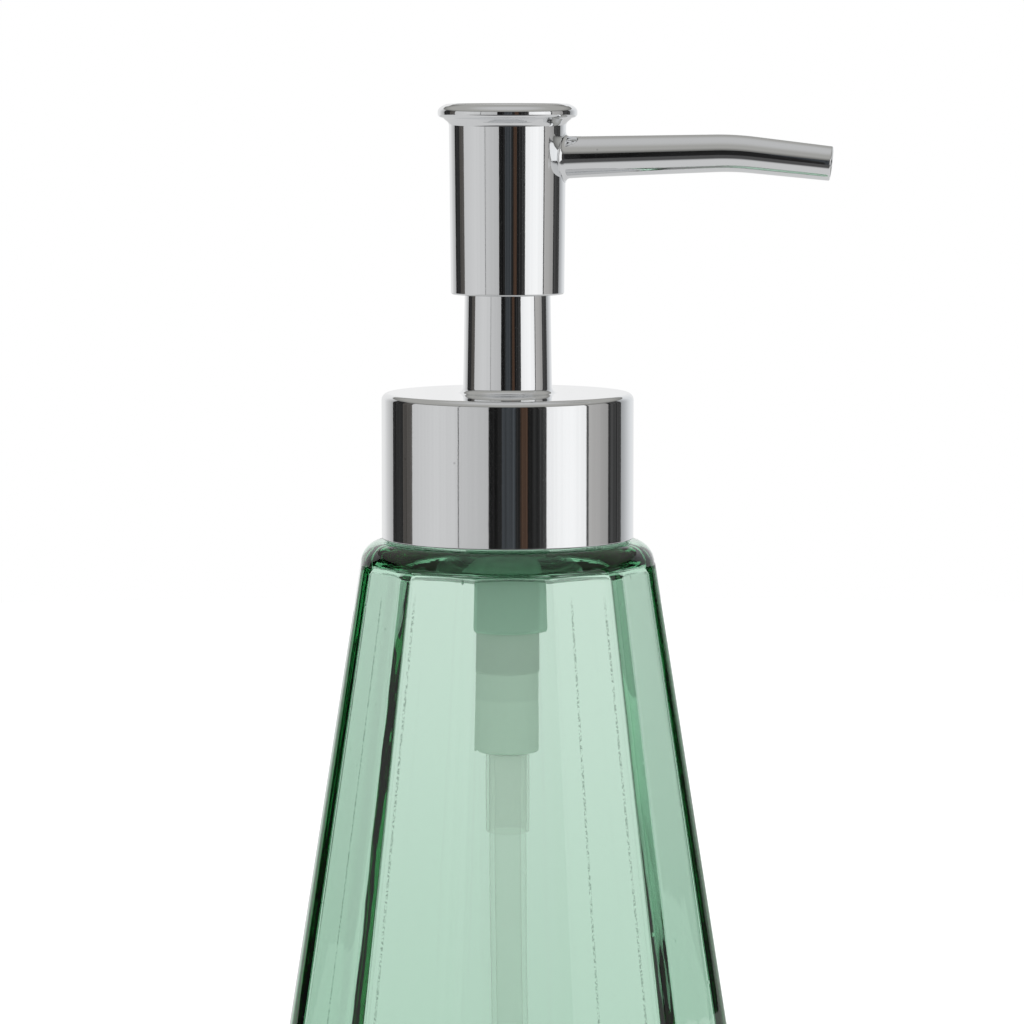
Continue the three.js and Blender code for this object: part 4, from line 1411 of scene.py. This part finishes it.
def build_floor(studio):
    """A white floor, on which the object throws its shadow. Metal mirrors it dark near the
    camera, and glass and plastic show it a little greyer behind the object."""
    near_mirror, far_mirror = 0.08, 0.62
    behind = BEHIND * studio.through_level

    def fill(shader):
        matt = shader.node("BsdfPrincipled", {}, {
            "Base Color": shader.mix(shader.noise(14.0), opaque(WHITE, 0.93), opaque(WHITE, 0.91)),
            "Roughness": 1.0, "Specular IOR Level": 0.0})
        lift = shader.node("Emission", {}, {"Color": opaque(WHITE), "Strength": 0.3})
        lit = shader.node("AddShader", {}, {0: matt, 1: lift})
        depth = shader.parts()[1]
        mirrored = shader.ramp(depth, -0.34, -0.2, near_mirror, far_mirror)
        through = shader.ramp(depth, 0.0, 0.15, studio.through_level, 0.95 * behind)
        through = through + shader.ramp(depth, 0.2, 0.7, 0.0, 0.05 * behind)
        tone = levels(shader, opaque(WHITE, studio.plain_level), mirrored, through)
        plain = shader.node("Emission", {}, {"Color": tone, "Strength": 1.0})
        camera = shader.node("LightPath", output="Is Camera Ray")
        both = shader.node("MixShader", {}, {0: camera, 1: plain, 2: lit})
        shader.node("OutputMaterial", {}, {"Surface": both})

    level = -0.2 * MM  # just under the bottle's foot
    rings = [circle(radius, level, 72) for radius in (0.15, 0.4, 1.0)]
    floor = skin("floor", [pole(level), *rings])
    if floor.data.polygons[0].normal.z < 0:
        floor.data.flip_normals()
    floor.data.materials.append(finish("floor_white", fill))


def build_cards(studio):
    def fill(shader):
        glow = shader.node("Attribute", {"attribute_name": "glow"}, output="Color")
        through = shader.node("Attribute", {"attribute_name": "through"}, output="Color")
        passing = shader.node("LightPath", output="Is Transmission Ray")
        grain = shader.noise(26.0, 3.0, 0.5, shader.stretched(1.0, 1.0, 0.06))
        level = shader.node("SeparateXYZ", {}, {"Vector": glow}, "Y")
        uneven = shader.ramp(level, 0.05, 0.3, 1.1, 0.05)
        streaks = shader.node("VectorMath", {"operation": "SCALE"}, {
            0: glow, "Scale": 1.0 + uneven * (shader.ramp(grain, 0.3, 0.7) - 0.5)})
        light = shader.node("Emission", {}, {
            "Color": shader.mix(passing, streaks, through), "Strength": 1.0})
        shader.node("OutputMaterial", {}, {"Surface": light})

    material = finish("card_light", fill)
    material.cycles.emission_sampling = "NONE"
    points, faces, glow, through = [], [], [], []
    for first, last, start, end, top, passing in CARDS:
        steps = max(1, math.ceil((last - first) / 2))
        base = len(points)
        for i in range(steps + 1):
            angle = math.radians(first + (last - first) * i / steps) - math.pi / 2
            angle += studio.camera_turn
            tone = [a + (b - a) * i / steps for a, b in zip(start, end)]
            for z in (0.0, top):
                points.append(polar(studio.ring_radius, angle, z))
                glow.append((*tone, 1.0))
                through.append((*passing, 1.0))
        faces += [(base + 2 * i, base + 2 * i + 2, base + 2 * i + 3, base + 2 * i + 1)
                  for i in range(steps)]
    data = bpy.data.meshes.new("cards")
    data.from_pydata(points, [], faces)
    for name, values in (("glow", glow), ("through", through)):
        attribute = data.attributes.new(name, "FLOAT_COLOR", "POINT")
        for item, value in zip(attribute.data, values):
            item.color = value
    data.materials.append(material)
    cards = bpy.data.objects.new("cards", data)
    bpy.context.scene.collection.objects.link(cards)
    cards.visible_camera = False
    cards.visible_diffuse = False
    cards.visible_shadow = False


def build_light():
    data = bpy.data.lights.new("softbox", "AREA")
    data.size = 1.2
    data.energy = 9.0
    light = bpy.data.objects.new("softbox", data)
    light.location = (-0.55, -0.75, 1.5)
    aim = Vector((0, 0, 0.08)) - light.location
    light.rotation_euler = aim.to_track_quat("-Z", "Y").to_euler()
    light.visible_glossy = False
    light.visible_transmission = False
    bpy.context.scene.collection.objects.link(light)


def build_camera(studio):
    scene = bpy.context.scene
    data = bpy.data.cameras.new("camera")
    data.lens = studio.focal_length
    data.sensor_width = 36.0
    data.clip_start = 0.01
    camera = bpy.data.objects.new("camera", data)
    turn = studio.camera_turn
    distance, offset = studio.camera_distance, studio.camera_shift
    camera.location = (
        distance * math.sin(turn) + offset * math.cos(turn),
        -distance * math.cos(turn) + offset * math.sin(turn), studio.camera_height)
    camera.rotation_euler = (math.pi / 2 - studio.camera_tilt, 0, turn)
    scene.collection.objects.link(camera)
    scene.camera = camera


def build_stage(studio):
    scene = bpy.context.scene
    scene.view_settings.view_transform = "Standard"
    scene.cycles.max_bounces = 32
    scene.cycles.transmission_bounces = 24
    scene.cycles.glossy_bounces = 24
    scene.cycles.transparent_max_bounces = 24
    build_world(studio)
    build_floor(studio)
    build_cards(studio)
    build_light()
    build_camera(studio)


# ---- Panel and registration --------------------------------------------------------------

OPERATORS = (
    SOAPPUMP_OT_stage, SOAPPUMP_OT_bottle, SOAPPUMP_OT_closure, SOAPPUMP_OT_housing,
    SOAPPUMP_OT_dip_tube, SOAPPUMP_OT_valve, SOAPPUMP_OT_spring, SOAPPUMP_OT_plunger,
    SOAPPUMP_OT_head, SOAPPUMP_OT_spout,
)


class SOAPPUMP_PT_panel(bpy.types.Panel):
    """The builder of the soap pump dispenser"""
    bl_idname = "SOAPPUMP_PT_panel"
    bl_label = "Soap Pump Dispenser"
    bl_space_type = "VIEW_3D"
    bl_region_type = "UI"
    bl_category = "Soap Pump"

    def draw(self, context):
        layout = self.layout
        settings = context.scene.soap_pump
        for operator in OPERATORS:
            layout.operator(operator.bl_idname)
        for name in ("glass", "closure", "head", "spout", "pump", "finishes", "studio"):
            group = getattr(settings, name)
            box = layout.box()
            box.label(text=name.capitalize())
            for prop in group.__annotations__:
                box.prop(group, prop)


CLASSES = (
    SOAPPUMP_PG_glass, SOAPPUMP_PG_closure, SOAPPUMP_PG_head, SOAPPUMP_PG_spout,
    SOAPPUMP_PG_pump, SOAPPUMP_PG_finishes, SOAPPUMP_PG_studio, SOAPPUMP_PG_settings,
    *OPERATORS, SOAPPUMP_PT_panel,
)


def register():
    for cls in CLASSES:
        bpy.utils.register_class(cls)
    bpy.types.Scene.soap_pump = PointerProperty(type=SOAPPUMP_PG_settings)


def unregister():
    del bpy.types.Scene.soap_pump
    for cls in reversed(CLASSES):
        bpy.utils.unregister_class(cls)


def main():
    register()
    for operator in OPERATORS:
        getattr(bpy.ops.soap_pump, operator.bl_idname.split(".")[1])()


if __name__ == "__main__":
    main()
